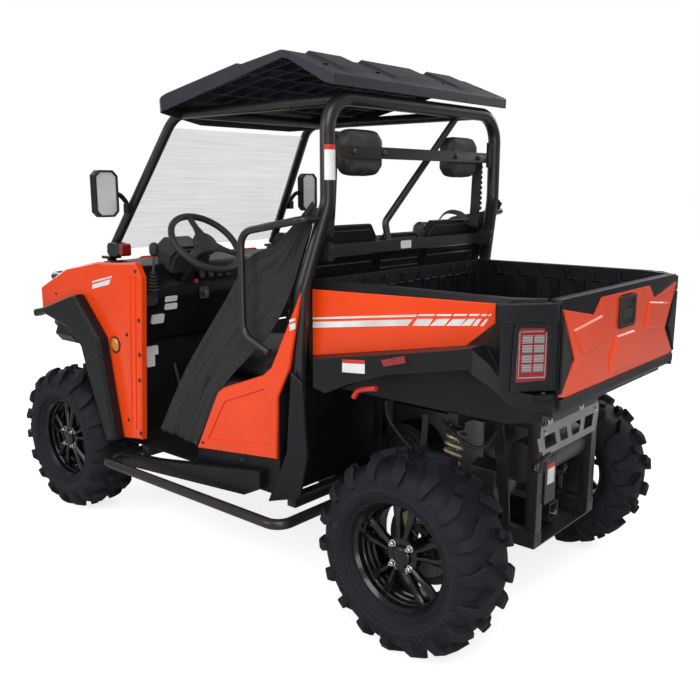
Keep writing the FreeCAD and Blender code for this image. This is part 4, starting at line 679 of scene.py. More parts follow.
def spoke_blade(bm, hand):
    """One of a spoke's two blades: slim at the hub, cranked out, wide where it meets the barrel."""
    outline = [(0.003, 0.048), (0.017, 0.050), (0.025, 0.084), (0.038, 0.118), (0.047, 0.162),
               (0.016, 0.170), (0.013, 0.148), (0.0145, 0.126), (0.0065, 0.092)]
    inset = [(0.0065, 0.053), (0.0125, 0.054), (0.0190, 0.086), (0.0290, 0.118), (0.0370, 0.158),
             (0.0220, 0.163), (0.0190, 0.146), (0.0195, 0.126), (0.0115, 0.092)]
    levels = ((outline, 0.038), (outline, 0.057), (inset, 0.0635))
    rings = []
    for points, level in levels:
        rings.append([bm.verts.new((level - 0.010 * (radius - 0.05) / 0.118 * (level > 0.05),
                                    across * hand, radius)) for across, radius in points])
    join_rings(bm, rings, False)


def rim_mesh():
    """Left rim about its own centre: stepped barrel, five twin spokes, hub and cap."""
    bm = bmesh.new()
    barrel = [(0.086, 0.1755), (0.0845, 0.1795), (0.080, 0.1800), (0.0775, 0.1770),
              (0.0735, 0.1735), (-0.0735, 0.1735), (-0.0775, 0.1770), (-0.080, 0.1800),
              (-0.0845, 0.1795), (-0.086, 0.1755), (-0.080, 0.1700), (-0.040, 0.1620),
              (-0.010, 0.1500), (0.010, 0.1500), (0.014, 0.1560), (0.030, 0.1560), (0.034, 0.1610),
              (0.050, 0.1610), (0.054, 0.1655), (0.074, 0.1655), (0.079, 0.1700)]
    turned(bm, barrel, sides=96)
    turned(bm, [(0.034, 0.026), (0.034, 0.060), (0.058, 0.0575), (0.0605, 0.050), (0.0605, 0.038),
                (0.0580, 0.0365), (0.0580, 0.026)], sides=64)
    turned(bm, [(0.050, 0.0355), (0.066, 0.0345), (0.0695, 0.031), (0.0700, 0.0275),
                (0.0688, 0.0265), (0.0700, 0.0250), (0.0720, 0.012)], sides=48, closed=False)
    blades = bmesh.new()
    for hand in (1, -1):
        spoke_blade(blades, hand)
    mesh = bpy.data.meshes.new("blades")
    blades.to_mesh(mesh)
    blades.free()
    for place in range(5):
        mesh.transform(Matrix.Rotation(2 * math.pi / 5, 4, "X"))
        bm.from_mesh(mesh)
    bpy.data.meshes.remove(mesh)
    return finished_mesh("rim", bm)


def nut_mesh():
    """Four wheel nuts, each with its washer and stud end."""
    bm = bmesh.new()
    for place in range(4):
        angle = math.pi / 4 + math.pi / 2 * place
        spot = Vector((0.0, 0.047 * math.cos(angle), 0.047 * math.sin(angle)))
        out = Vector((1, 0, 0))
        bar(bm, spot + out * 0.056, spot + out * 0.072, 0.0095, 6, 0.0085)
        bar(bm, spot + out * 0.056, spot + out * 0.062, 0.0115, 20)
        bar(bm, spot + out * 0.072, spot + out * 0.079, 0.005, 14)
    return finished_mesh("wheel_nuts", bm)


def disc_mesh():
    """Drilled brake disc."""
    bm = bmesh.new()
    turned(bm, rectangle(-0.002, 0.002, 0.066, 0.112), sides=72)
    for place in range(10):
        angle = 2 * math.pi * place / 10
        spot = Vector((0.0, math.cos(angle), math.sin(angle)))
        bar(bm, spot * 0.030, spot * 0.069, 0.0045, 8)
    for place in range(30):
        angle = 2 * math.pi * place / 30
        radius = 0.082 + 0.010 * (place % 3)
        spot = Vector((0.0, math.cos(angle) * radius, math.sin(angle) * radius))
        turned(bm, [(-0.0024, 0.0025), (-0.0024, 0.0042), (0.0024, 0.0042), (0.0024, 0.0025)], spot,
               sides=12)
    return finished_mesh("brake_disc", bm)


def shield_mesh():
    """Dished dust shield behind the disc."""
    bm = bmesh.new()
    turned(bm, [(-0.004, 0.040), (-0.002, 0.040), (0.002, 0.110), (0.014, 0.138), (0.014, 0.142),
                (0.010, 0.143), (-0.004, 0.114)], sides=64)
    return finished_mesh("dust_shield", bm)


def placed_copy(name, mesh, centre, look, body, edge=0.0, stands_for=()):
    """A copy of a left piece's mesh at a wheel; the right side gets its mirror image."""
    copy = mesh.copy()
    copy.name = name
    hand = -1.0 if centre[0] < 0 else 1.0
    copy.transform(Matrix.Diagonal((hand, 1.0, 1.0, 1.0)))
    if hand < 0:
        copy.flip_normals()
    copy.transform(Matrix.Translation(centre))
    return dressed(name, copy, look, body, edge, 40.0, stands_for)


def wheels():
    rim = rim_mesh()
    nuts = nut_mesh()
    disc = disc_mesh()
    shield = shield_mesh()
    for axle, widen in (("front", 1.0), ("rear", 1.09)):
        tyre = tyre_mesh(axle + "_tyre_shape", widen)
        for side in ("left", "right"):
            low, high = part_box("%s_rim_%s" % (axle, side))
            centre = (low + high) / 2
            body = "%s_wheel_%s" % (axle, side)
            label = "%s_%s" % (axle, side)
            placed_copy(label + "_rubber", tyre, centre, "tyre_rubber", body, 0.0008,
                        ["%s_tyre_%s" % (axle, side)])
            placed_copy(label + "_alloy", rim, centre, "rim_alloy", body, 0.0012,
                        ["%s_rim_%s" % (axle, side)])
            placed_copy(label + "_nuts", nuts, centre, "chrome", body)
            inward = Vector((0.058 if side == "left" else -0.058, 0.0, 0.0))
            placed_copy(label + "_disc", disc, centre - inward, "bare_metal", body)
            carrier = "knuckle_" + side if axle == "front" else "vehicle"
            placed_copy(label + "_shield", shield, centre - inward * 1.40, "frame_paint", carrier)


# Panels: outlines as shares of a frame, and the frames as (start, length, low, height) in metres
FENDER_FRAME = (-1.120, 0.781, 0.382, 0.782)
FENDER_SHARES = ((0.0, 0.66), (0.0, 0.8), (0.296, 0.932), (0.604, 0.983), (0.681, 0.983),
                 (0.954, 1.0), (1.0, 0.926), (0.933, 0.049), (0.784, 0.029), (0.736, 0.023),
                 (0.602, 0.483), (0.48, 0.65), (0.365, 0.694), (0.111, 0.678))
FENDER_TOP_SHARES = ((0.0, 0.8), (0.296, 0.932), (0.46, 0.959))
FLUTE_SHARES = ((0.85, 0.1), (0.872, 0.1), (0.93, 0.93), (0.905, 0.93))
GROOVE_SHARES = ((0.893, 0.1), (0.908, 0.1), (0.97, 0.93), (0.952, 0.93))
FENDER_INNER = 0.570
FENDER_OUTER = 0.600
FLUTE_DEPTH = 0.005
FLARE_SHARES = ((0.0, 0.63), (0.0, 0.675), (0.114, 0.698), (0.425, 0.794), (0.466, 0.798),
                (0.677, 0.581), (0.784, 0.029), (0.695, 0.0), (0.531, 0.404), (0.493, 0.513),
                (0.36, 0.606), (0.109, 0.661))
FLARE_OUTER = 0.650
HOOD_FRAME = (-1.300, 0.620, 0.825, 0.335)
HOOD_HALF = 0.430
HOOD_SHARES = ((0.0, 0.0), (0.12, 0.0), (0.12, 0.2), (1.0, 0.9), (1.0, 1.0), (0.5, 0.74),
               (0.1, 0.34), (0.0, 0.2))
HOOD_PLAN_SHARES = ((0.08, 0.0), (0.92, 0.0), (1.0, 0.25), (1.0, 1.0), (0.0, 1.0), (0.0, 0.25))
HOOD_FRONT_SHARES = ((0.0, 0.0), (1.0, 0.0), (1.0, 0.84), (0.9, 1.0), (0.1, 1.0), (0.0, 0.84))
BULGE_SHARES = ((0.08, 0.2), (0.13, 0.4), (0.5, 0.78), (0.9, 0.99), (0.94, 0.8))
BULGE_HALF = 0.130
FASCIA_FRAME = (-1.330, 0.150, 0.420, 0.405)
FASCIA_HALF = 0.425
FASCIA_SHARES = ((0.0, 0.3), (0.0, 0.8), (0.3, 1.0), (1.0, 1.0), (1.0, 0.0), (0.5, 0.0))
FASCIA_FRONT_SHARES = ((0.19, 0.0), (0.81, 0.0), (0.83, 0.66), (0.96, 0.7), (1.0, 0.8), (1.0, 1.0),
                       (0.0, 1.0), (0.0, 0.8), (0.04, 0.7), (0.17, 0.66))
GRILLE_HALF = 0.205
GRILLE_SLOT = 0.026
GRILLE_STARTS = (0.491, 0.537, 0.583, 0.629, 0.675)
HEADLAMP_SHARES = ((0.0, 0.15), (0.25, 0.0), (1.0, 0.2), (0.92, 1.0), (0.1, 0.85))
HEADLAMP_FRAME = (0.270, 0.130, 0.747, 0.072)
SIDE_WALL = (0.598, 0.610)
SEAT_PANEL_FRAME = (-0.010, 0.567, 0.453, 0.672)
SEAT_PANEL_SHARES = ((0.0, 0.024), (0.775, 0.1), (0.794, 0.439), (0.898, 0.603), (1.0, 1.0),
                     (0.743, 0.592), (0.67, 0.543), (0.293, 0.424), (0.233, 0.387))
SEAT_RECESS_SHARES = ((0.12, 0.1), (0.72, 0.17), (0.735, 0.4), (0.68, 0.47), (0.3, 0.345))
REAR_PANEL_FRAME = (0.380, 0.200, 0.350, 0.520)
REAR_PANEL_SHARES = ((0.0, 0.0), (0.8, 0.1), (1.0, 0.4), (0.9, 0.9), (0.63, 0.96), (0.5, 0.4))
SKIN_FRAME = (0.540, 0.750, 0.898, 0.245)
SKIN_SHARES = ((0.0, 0.93), (0.96, 1.0), (1.0, 0.94), (1.0, 0.6), (0.82, 0.46), (0.0, 0.0))
ARCH_FRAME = (0.562, 0.840, 0.812, 0.218)
ARCH_SHARES = ((0.0, 0.423), (0.7, 0.913), (0.801, 1.0), (0.849, 0.794), (0.9, 0.454), (1.0, 0.284),
               (1.0, 0.1), (0.902, 0.248), (0.861, 0.472), (0.789, 0.716), (0.442, 0.44),
               (0.256, 0.183), (0.155, 0.0), (0.045, 0.092), (0.0, 0.151))
# Plan of the corner behind the bed's side, from its outside round to its inside
CORNER_PLAN = ((0.591, 1.298), (0.466, 1.402), (0.454, 1.402), (0.454, 1.363), (0.534, 1.290))
FENDER_PLAN = ((0.534, 0.562), (0.556, 0.562), (0.640, 0.640), (0.640, 1.240))
HOUSE_PLAN = ((0.534, 1.150), (0.579, 1.278))
HOUSE_TOP_PLAN = ((0.534, 1.262), (0.579, 1.278))
HOUSE_LEVELS = (0.905, 1.011, 1.100)
CAP_PLAN = ((0.545, 1.262), (0.591, 1.278), (0.600, 1.298), (0.475, 1.402), (0.454, 1.402),
            (0.454, 1.363), (0.544, 1.290))
CAP_TOP = 1.150
# Room for the gate's ear at the foot of the corner: (start, end, low, high) in the side view
EAR_ROOM = (1.295, 1.431, 0.790, 0.860)
EAR_SPAN = (0.440, 0.470)
# Tail lamp: its plane runs from the bed's side round the corner to the gate
LAMP_START = Vector((0.591, 1.298, 0.0))
LAMP_ALONG = Vector((-0.769, 0.640, 0.0))
LAMP_OUT = Vector((0.640, 0.769, 0.0))
LAMP_SPAN = (0.044, 0.136)
LAMP_DEPTH = (-0.036, 0.006)
LAMP_LEVELS = (0.931, 1.090)
GATE_FRAME = (-0.444, 0.888, 0.873, 0.267)
GATE_FACES = (1.403, 1.408, 1.414)
GATE_SHARES = ((0.04, 0.0), (0.96, 0.0), (1.0, 0.03), (0.9, 0.38), (1.0, 0.966), (0.768, 0.82),
               (0.712, 1.0), (0.288, 1.0), (0.232, 0.82), (0.0, 0.966), (0.1, 0.38), (0.0, 0.03))
WING_SHARES = ((0.712, 0.8), (0.93, 0.72), (0.85, 0.4), (0.685, 0.47))
MIDDLE_SHARES = ((0.38, 0.06), (0.62, 0.06), (0.625, 0.27), (0.58, 0.5), (0.42, 0.5), (0.375, 0.27))
FIELD_TAPER = 0.005
HANDLE_HOLE = ((-0.048, 1.040), (0.048, 1.040), (0.048, 1.132), (-0.048, 1.132))
# Ends of a cutting prism, well past what it cuts
PAST = 0.060


def on_frame(shares, frame):
    """Outline points from shares of a frame."""
    start, length, low, height = frame
    return [(start + length * along, low + height * up) for along, up in shares]


def inset(points, amount):
    """An outline drawn in by an even amount, with mitred corners."""
    points = [Vector(point) for point in points]
    after = points[1:] + points[:1]
    turn = sum(one.x * two.y - two.x * one.y for one, two in zip(points, after))
    made = []
    for place, point in enumerate(points):
        runs = ((point - points[place - 1]).normalized(), (after[place] - point).normalized())
        inward = sum((Vector((-run.y, run.x)) for run in runs), Vector((0.0, 0.0)))
        reach = 2 * math.copysign(amount, turn) / inward.length_squared
        made.append(tuple(point + inward * reach))
    return made


def solid_of(rings, frame=PLAN):
    """A closed solid through rings of (across, up, level) points, as a scratch object."""
    bm = bmesh.new()
    join_rings(bm, [[bm.verts.new(frame @ Vector(point)) for point in ring] for ring in rings],
               False)
    return object_of("scratch", mesh_of("scratch", bm))


def drawn(points, low, high, frame=SIDE):
    """A flat outline drawn out from one level to another, as a scratch solid."""
    return solid_of([[(*point, level) for point in points] for level in (low, high)], frame)


def bevelled(points, inner, outer, bevel, frame=SIDE):
    """A panel whose outer rim is bevelled."""
    return solid_of([[(*point, inner) for point in points],
                     [(*point, outer - bevel) for point in points],
                     [(*point, outer) for point in inset(points, bevel)]], frame)


def baked(piece):
    """Replaces a piece's mesh by what its modifiers make of it."""
    made = bpy.data.meshes.new_from_object(
        piece.evaluated_get(bpy.context.evaluated_depsgraph_get()))
    piece.modifiers.clear()
    piece.data = made


def combined(kind, base, *tools):
    """Meets, joins or cuts scratch solids; the tools are used up."""
    for tool in tools:
        step = base.modifiers.new("step", "BOOLEAN")
        step.operation = kind
        step.solver = "EXACT"
        step.object = tool
    baked(base)
    for tool in tools:
        bpy.data.objects.remove(tool)
    return base


def front_fender_form():
    """Fender and cab jamb in one panel, with two flutes and the shelf beside the hood."""
    panel = bevelled(on_frame(FENDER_SHARES, FENDER_FRAME), FENDER_INNER, FENDER_OUTER, 0.007)
    flutes = [drawn(on_frame(shares, FENDER_FRAME), FENDER_OUTER - FLUTE_DEPTH, FENDER_OUTER + PAST)
              for shares in (FLUTE_SHARES, GROOVE_SHARES)]
    combined("DIFFERENCE", panel, *flutes)
    top = on_frame(FENDER_TOP_SHARES, FENDER_FRAME)
    shelf = top + [(along, up - 0.012) for along, up in top[::-1]]
    return combined("UNION", panel, drawn(shelf, HOOD_HALF, FENDER_INNER + 0.010))


def flare_form():
    """Black lip that follows the fender's arch from the nose to its foot."""
    return bevelled(on_frame(FLARE_SHARES, FENDER_FRAME), FENDER_OUTER, FLARE_OUTER, 0.009)


def hood_form():
    """Side view, plan and front view met, with a raised middle."""
    start, length, low, height = HOOD_FRAME
    body = drawn(on_frame(HOOD_SHARES, HOOD_FRAME), -HOOD_HALF, HOOD_HALF)
    plan = drawn(on_frame(HOOD_PLAN_SHARES, (-HOOD_HALF, 2 * HOOD_HALF, start, length)),
                 low - PAST, low + height + PAST, PLAN)
    front = drawn(on_frame(HOOD_FRONT_SHARES, (-HOOD_HALF, 2 * HOOD_HALF, low, height)),
                  start - PAST, start + length + PAST, REAR)
    combined("INTERSECT", body, plan, front)
    return combined("UNION", body, drawn(on_frame(BULGE_SHARES, HOOD_FRAME), -BULGE_HALF,
                                         BULGE_HALF))


def fascia_form():
    """T-shaped front panel with grille slots and the pockets of the headlamps."""
    start, length, low, height = FASCIA_FRAME
    body = drawn(on_frame(FASCIA_SHARES, FASCIA_FRAME), -FASCIA_HALF, FASCIA_HALF)
    front = drawn(on_frame(FASCIA_FRONT_SHARES, (-FASCIA_HALF, 2 * FASCIA_HALF, low, height)),
                  start - PAST, start + length + PAST, REAR)
    combined("INTERSECT", body, front)
    rooms = [drawn(rectangle(-GRILLE_HALF, GRILLE_HALF, slot, slot + GRILLE_SLOT), start - PAST,
                   start + 0.040, REAR) for slot in GRILLE_STARTS]
    lamp = on_frame(HEADLAMP_SHARES, HEADLAMP_FRAME)
    for hand in (1, -1):
        rooms.append(drawn([(across * hand, up) for across, up in lamp], start - PAST,
                           start + 0.034, REAR))
    return combined("DIFFERENCE", body, *rooms)


def seat_panel_form():
    """Orange side panel below the seat, with a sunk field."""
    inner, outer = SIDE_WALL
    panel = bevelled(on_frame(SEAT_PANEL_SHARES, SEAT_PANEL_FRAME), inner, outer, 0.004)
    recess = drawn(on_frame(SEAT_RECESS_SHARES, SEAT_PANEL_FRAME), outer - 0.007, outer + PAST)
    return combined("DIFFERENCE", panel, recess)


def rear_panel_form():
    """Black panel behind the seat's side panel."""
    return bevelled(on_frame(REAR_PANEL_SHARES, REAR_PANEL_FRAME), *SIDE_WALL, 0.004)


def skin_form():
    """Orange sheet on the bed's side wall."""
    return drawn(on_frame(SKIN_SHARES, SKIN_FRAME), 0.526, 0.534)


def lamp_frame():
    made = Matrix((LAMP_ALONG, Vector((0, 0, 1)), LAMP_OUT)).transposed().to_4x4()
    made.translation = LAMP_START
    return made


def lamp_form():
    """Slanted box of the tail lamp."""
    low, high = LAMP_LEVELS
    near, far = LAMP_SPAN
    return drawn(rectangle(near, far, low, high), *LAMP_DEPTH, lamp_frame())


def rear_fender_form():
    """Arch over the wheel that rises, behind a slanted edge, into the housing of the tail lamp."""
    plan = FENDER_PLAN + CORNER_PLAN
    arch = drawn(plan, 0.800, CAP_TOP, PLAN)
    combined("INTERSECT", arch, drawn(on_frame(ARCH_SHARES, ARCH_FRAME), 0.400, 0.700))
    low, knee, top = HOUSE_LEVELS
    house = solid_of([[(*point, low) for point in HOUSE_PLAN + CORNER_PLAN],
                      [(*point, knee) for point in HOUSE_PLAN + CORNER_PLAN],
                      [(*point, top) for point in HOUSE_TOP_PLAN + CORNER_PLAN]])
    cap = drawn(CAP_PLAN, top, CAP_TOP, PLAN)
    combined("UNION", arch, house, cap)
    return combined("DIFFERENCE", arch, lamp_form(), drawn(rectangle(*EAR_ROOM), *EAR_SPAN))


def gate_form():
    """A cut-out sheet with tapered raised fields and the opening of the handle."""
    back, face, front = GATE_FACES
    skin = drawn(on_frame(GATE_SHARES, GATE_FRAME), back, face, REAR)
    combined("DIFFERENCE", skin, drawn(HANDLE_HOLE, back - PAST, front + PAST, REAR))
    wing = on_frame(WING_SHARES, GATE_FRAME)
    fields = [solid_of([[(*point, face - 0.002) for point in field],
                        [(*point, face) for point in field],
                        [(*point, front) for point in inset(field, FIELD_TAPER)]], REAR)
              for field in (wing, [(-across, up) for across, up in wing],
                            on_frame(MIDDLE_SHARES, GATE_FRAME))]
    return combined("UNION", skin, *fields)


# Each panel: its form, finish, body, edge radius and whether the right side mirrors it
PANELS = {
    "front_fenders": (front_fender_form, "orange_panel", "vehicle", 0.006, True),
    "hood": (hood_form, "orange_panel", "vehicle", 0.006, False),
    "front_flares": (flare_form, "black_plastic", "vehicle", 0.005, True),
    "seat_side_panels": (seat_panel_form, "orange_panel", "vehicle", 0.005, True),
    "rear_side_panels": (rear_panel_form, "black_plastic", "vehicle", 0.004, True),
    "rear_fenders": (rear_fender_form, "black_plastic", "load_bed", 0.005, True),
    "bed_skins": (skin_form, "orange_panel", "load_bed", 0.002, True),
    "tail_lamps": (lamp_form, "red_lens", "load_bed", 0.003, True),
    "front_fascia": (fascia_form, "black_plastic", "vehicle", 0.005, False),
    "tailgate_skin": (gate_form, "orange_panel", "gate", 0.002, False),
}


def panels():
    for name, (form, finish, body, edge, paired) in PANELS.items():
        shape = form()
        bm = bmesh.new()
        bm.from_mesh(shape.data)
        bpy.data.objects.remove(shape)
        bmesh.ops.remove_doubles(bm, verts=bm.verts, dist=0.0002)
        bmesh.ops.dissolve_limit(bm, angle_limit=math.radians(1.2), verts=bm.verts[:],
                                 edges=bm.edges[:])
        if paired:
            add_twin(bm)
        piece_of(name + "_form", bm, finish, body, edge, 14.0, [name])


# Roof: places along y, heights and widths in metres
ROOF_PLAN = ((-0.262, -0.345), (0.262, -0.345), (0.534, -0.252), (0.545, -0.227), (0.545, 0.620),
             (0.529, 0.640), (-0.529, 0.640), (-0.545, 0.620), (-0.545, -0.227), (-0.534, -0.252))
ROOF_TOP = ((-0.345, 1.7535), (-0.256, 1.789), (-0.197, 1.808), (0.202, 1.880), (0.212, 1.873),
            (0.413, 1.902), (0.428, 1.901), (0.640, 1.8135))
ROOF_EDGE = ((-0.345, 1.712), (-0.252, 1.739), (0.177, 1.824), (0.394, 1.8735), (0.434, 1.8755),
             (0.522, 1.8405), (0.591, 1.791), (0.640, 1.7765))
ROOF_RIDGES = ((-0.435, -0.245), (-0.160, 0.160), (0.245, 0.435))
RIDGE_RUN = (0.418, 0.446, 0.570, 0.604)
RIDGE_LIFT = 0.012
ROOF_RIBS = (-0.168, -0.049, 0.069, 0.187, 0.305, 0.403, 0.502)


def height_on(line, along):
    """Height of a run of (along, up) points at one place."""
    for (before, low), (after, high) in zip(line, line[1:]):
        if along <= after:
            return low + (high - low) * max(0.0, along - before) / (after - before)
    return line[-1][1]


def split(bm, place, normal):
    """Cuts every face where this plane crosses it."""
    bmesh.ops.bisect_plane(bm, geom=bm.verts[:] + bm.edges[:] + bm.faces[:], plane_co=place,
                           plane_no=normal, dist=0.0004)


def roof_sheet(bm):
    """A peaked sheet with raised ridges and deep edges."""
    bm.faces.new([bm.verts.new((across, along, 0.0)) for across, along in ROOF_PLAN])
    for along in [spot for spot, _ in ROOF_TOP[1:-1]] + list(RIDGE_RUN):
        split(bm, (0, along, 0), (0, 1, 0))
    for low, high in ROOF_RIDGES:
        for across in (low, low + 0.012, high - 0.012, high):
            split(bm, (across, 0, 0), (1, 0, 0))
    for vert in bm.verts:
        vert.co.z = height_on(ROOF_TOP, vert.co.y)
        inside = any(low + 0.006 < vert.co.x < high - 0.006 for low, high in ROOF_RIDGES)
        if inside and RIDGE_RUN[0] + 0.003 < vert.co.y < RIDGE_RUN[3] - 0.003:
            vert.co.z += RIDGE_LIFT * (1.0 if vert.co.y < RIDGE_RUN[2] - 0.003 else 0.8)
    rim = [edge for edge in bm.edges if edge.is_boundary]
    made = bmesh.ops.extrude_edge_only(bm, edges=rim)["geom"]
    for vert in [item for item in made if isinstance(item, bmesh.types.BMVert)]:
        vert.co.z = height_on(ROOF_EDGE, vert.co.y)
        vert.co.x *= 1.0 - 0.004 * (abs(vert.co.x) > 0.5)
    bmesh.ops.recalc_face_normals(bm, faces=bm.faces)
    top = max(bm.faces, key=lambda face: face.calc_area())
    if top.normal.z < 0:
        bmesh.ops.reverse_faces(bm, faces=bm.faces[:])
    bmesh.ops.solidify(bm, geom=bm.faces[:], thickness=0.007)


def roof_lattice(bm):
    """Ribs across and along below the sheet."""
    for along in ROOF_RIBS:
        level = height_on(ROOF_TOP, along)
        block(bm, (0.0, along, level - 0.018), (1.066, 0.006, 0.026))
    for place in range(-5, 6):
        line = [(along, height_on(ROOF_TOP, along)) for along in
                [ROOF_RIBS[0]] + [spot for spot, _ in ROOF_TOP[3:7]] + [ROOF_RIBS[-1]]]
        band = [(along, up - 0.003) for along, up in line]
        band += [(along, up - 0.030) for along, up in line[::-1]]
        prism(bm, band, place * 0.095 - 0.003, place * 0.095 + 0.003, SIDE)


def roof():
    bm = bmesh.new()
    roof_sheet(bm)
    roof_lattice(bm)
    piece_of("roof_shell", bm, "roof_plastic", edge=0.004, stands_for=["roof"])
    bolts = bmesh.new()
    for along in (0.235, 0.545):
        for across in (0.200, 0.470):
            level = height_on(ROOF_TOP, along)
            screw(bolts, (across, along, level + 0.0005), (0, -0.25, 1), 0.011)
    add_twin(bolts)
    piece_of("roof_bolts", bolts, "grip_plastic")


# A lug below the bed's rolled rail, its points measured from where its rib starts
BED_LUG = ((0.040, 1.146), (0.056, 1.146), (0.062, 1.112), (0.090, 1.112), (0.090, 1.104),
           (0.052, 1.104))


def bed_lining():
    """Ribs and lugs inside the bed."""
    bm = bmesh.new()
    for side in (-1, 1):
        for place in range(7):
            along = 0.600 + 0.105 * place
            block(bm, (side * 0.487, along, 0.985), (0.010, 0.040, 0.250))
            prism(bm, [(along + shift, up) for shift, up in BED_LUG], side * 0.481, side * 0.491,
                  SIDE)
    for place in range(-4, 5):
        block(bm, (place * 0.110, 0.554, 0.985), (0.040, 0.010, 0.250))
        prism(bm, [(place * 0.110 - 0.010 + shift, up) for shift, up in BED_LUG], 0.550, 0.560,
              REAR)
    for place in range(-6, 7):
        block(bm, (place * 0.075, 0.930, 0.8525), (0.024, 0.780, 0.007))
    piece_of("bed_lining", bm, "black_plastic", "load_bed", edge=0.003)


def tail_lamps():
    """Black housing with a bevelled lip, clear blocks over the red and a fine clear outline."""
    frame_of = lamp_frame()
    shell = bmesh.new()
    outline = [(0.030, 0.905), (0.150, 0.915), (0.146, 1.062), (0.128, 1.098), (0.040, 1.100),
               (0.034, 1.080)]
    inner = [(0.044, 0.931), (0.136, 0.938), (0.132, 1.060), (0.122, 1.084), (0.054, 1.086),
             (0.048, 1.070)]
    collar(shell, outline, inner, 0.000, 0.0085, frame_of)
    add_twin(shell)
    piece_of("tail_lamp_rims", shell, "black_plastic", "load_bed", edge=0.002)
    clear = bmesh.new()
    for column in range(2):
        for row in range(4):
            low = 0.962 + 0.027 * row
            left = 0.060 + 0.034 * column
            prism(clear, rectangle(left, left + 0.029, low, low + 0.022), 0.0055, 0.0085, frame_of)
    for low, high, left, right in ((0.944, 0.948, 0.052, 0.130), (1.074, 1.078, 0.056, 0.120),
                                   (0.944, 1.078, 0.050, 0.053), (0.948, 1.074, 0.127, 0.130)):
        prism(clear, rectangle(left, right, low, high), 0.0055, 0.0088, frame_of)
    add_twin(clear)
    latch = bmesh.new()
    bar(latch, (0.508, 1.362, 0.884), (0.464, 1.399, 0.884), 0.011)
    add_twin(latch)
    piece_of("fender_latches", latch, "black_plastic", "load_bed", edge=0.003)
    piece_of("tail_lamp_blocks", clear, "clear_lens", "load_bed", edge=0.0006)


def gate_trim():
    """Dark corner triangles, handle slot with its latch, bottom trim and hinge pins."""
    bm = bmesh.new()
    face = 1.4146
    for side in (1, -1):
        prism(bm, [(side * 0.443, 1.100), (side * 0.387, 0.975), (side * 0.443, 0.890)][::side],
              face - 0.009, face - 0.0004, REAR)
    prism(bm, rectangle(-0.443, 0.443, 0.846, 0.872), face - 0.011, face - 0.001, REAR)
    handle = [(-0.056, 1.026), (0.056, 1.026), (0.064, 1.040), (0.064, 1.128), (-0.064, 1.128),
              (-0.064, 1.040)]
    inner = [(-0.046, 1.036), (0.046, 1.036), (0.050, 1.044), (0.050, 1.118), (-0.050, 1.118),
             (-0.050, 1.044)]
    collar(bm, handle, inner, face - 0.006, face + 0.0003, REAR)
    prism(bm, rectangle(-0.050, 0.050, 1.036, 1.118), face - 0.010, face - 0.006, REAR)
    prism(bm, [(-0.040, 1.052), (0.040, 1.052), (0.044, 1.084), (-0.044, 1.084)], face - 0.006,
          face - 0.001, REAR)
    piece_of("gate_trim", bm, "grip_plastic", "gate", edge=0.0012)
    pins = bmesh.new()
    for side in (1, -1):
        bar(pins, (side * 0.450, 1.386, 0.842), (side * 0.470, 1.386, 0.842), 0.008)
        bar(pins, (side * 0.446, 1.388, 1.120), (side * 0.462, 1.388, 1.120), 0.006)
    piece_of("gate_pins", pins, "bare_metal", "gate")


# White stripes in the side view, in millimetres, each from its front end along its upper edge
MM = 0.001
BED_STRIPES = (
    ((494, 1024), (972, 1077), (974, 1084), (492, 1030)),
    ((492, 995), (940, 1046), (960, 1068), (490, 1015)),
    ((976, 1071), (1034, 1077), (1018, 1054), (958, 1048)),
    ((1048, 1078), (1094, 1084), (1075, 1061), (1023, 1055)),
    ((1104, 1084), (1149, 1089), (1131, 1067), (1081, 1061)),
    ((1157, 1090), (1182, 1093), (1165, 1071), (1133, 1067)),
    ((1188, 1093), (1201, 1095), (1187, 1073), (1171, 1071)),
    ((1216, 1096), (1223, 1096), (1207, 1074), (1197, 1074)),
    ((983, 1086), (1042, 1092), (1037, 1086), (977, 1080)),
    ((1050, 1093), (1101, 1098), (1096, 1092), (1045, 1087)),
    ((1109, 1099), (1154, 1104), (1149, 1098), (1104, 1093)),
    ((1163, 1105), (1195, 1108), (1190, 1102), (1158, 1099)),
    ((1203, 1109), (1220, 1110), (1215, 1104), (1198, 1103)),
    ((1227, 1111), (1234, 1112), (1229, 1106), (1222, 1105)),
)
SEAT_STRIPES = (((453, 1028), (533, 1036), (533, 1028), (451, 1019)),
                ((449, 1012), (533, 1021), (533, 1000), (443, 990)))
FENDER_STRIPES = (((-686, 1067), (-535, 1101), (-538, 1093), (-687, 1060)),
                  ((-684, 1053), (-547, 1086), (-560, 1063), (-690, 1034)))
# For each group: the side's face, where along y the panel starts, and what carries it
STRIPES = (("bed_stripes", BED_STRIPES, 0.5345, 0.5425, "load_bed"),
           ("seat_stripes", SEAT_STRIPES, 0.6098, 0.5060, "vehicle"),
           ("fender_stripes", FENDER_STRIPES, 0.6000, -1.0, "vehicle"))


def stripes():
    """Thin white sheets laid on the side panels."""
    for name, rows, face, first, body in STRIPES:
        bm = bmesh.new()
        for row in rows:
            points = [(max(along * MM, first), up * MM) for along, up in row]
            prism(bm, points, face - 0.0008, face + 0.0006, SIDE)
        add_twin(bm)
        piece_of(name, bm, "white_label", body)


# Round amber lamp on the side of the front fender, and the places of the panels' screws
AMBER_LAMP = (0.6005, -0.538, 0.810)
FENDER_SCREWS = ((-0.370, 1.130), (-0.363, 0.932), (-0.370, 0.789), (-0.379, 0.680),
                 (-0.389, 0.450), (-0.451, 0.863), (-0.470, 0.494))
FLARE_SCREWS = ((-0.900, 1.000), (-0.700, 0.930), (-0.610, 0.760), (-0.570, 0.560),
                (-0.545, 0.420))
SEAT_PANEL_SCREWS = ((0.030, 0.500), (0.250, 0.480))


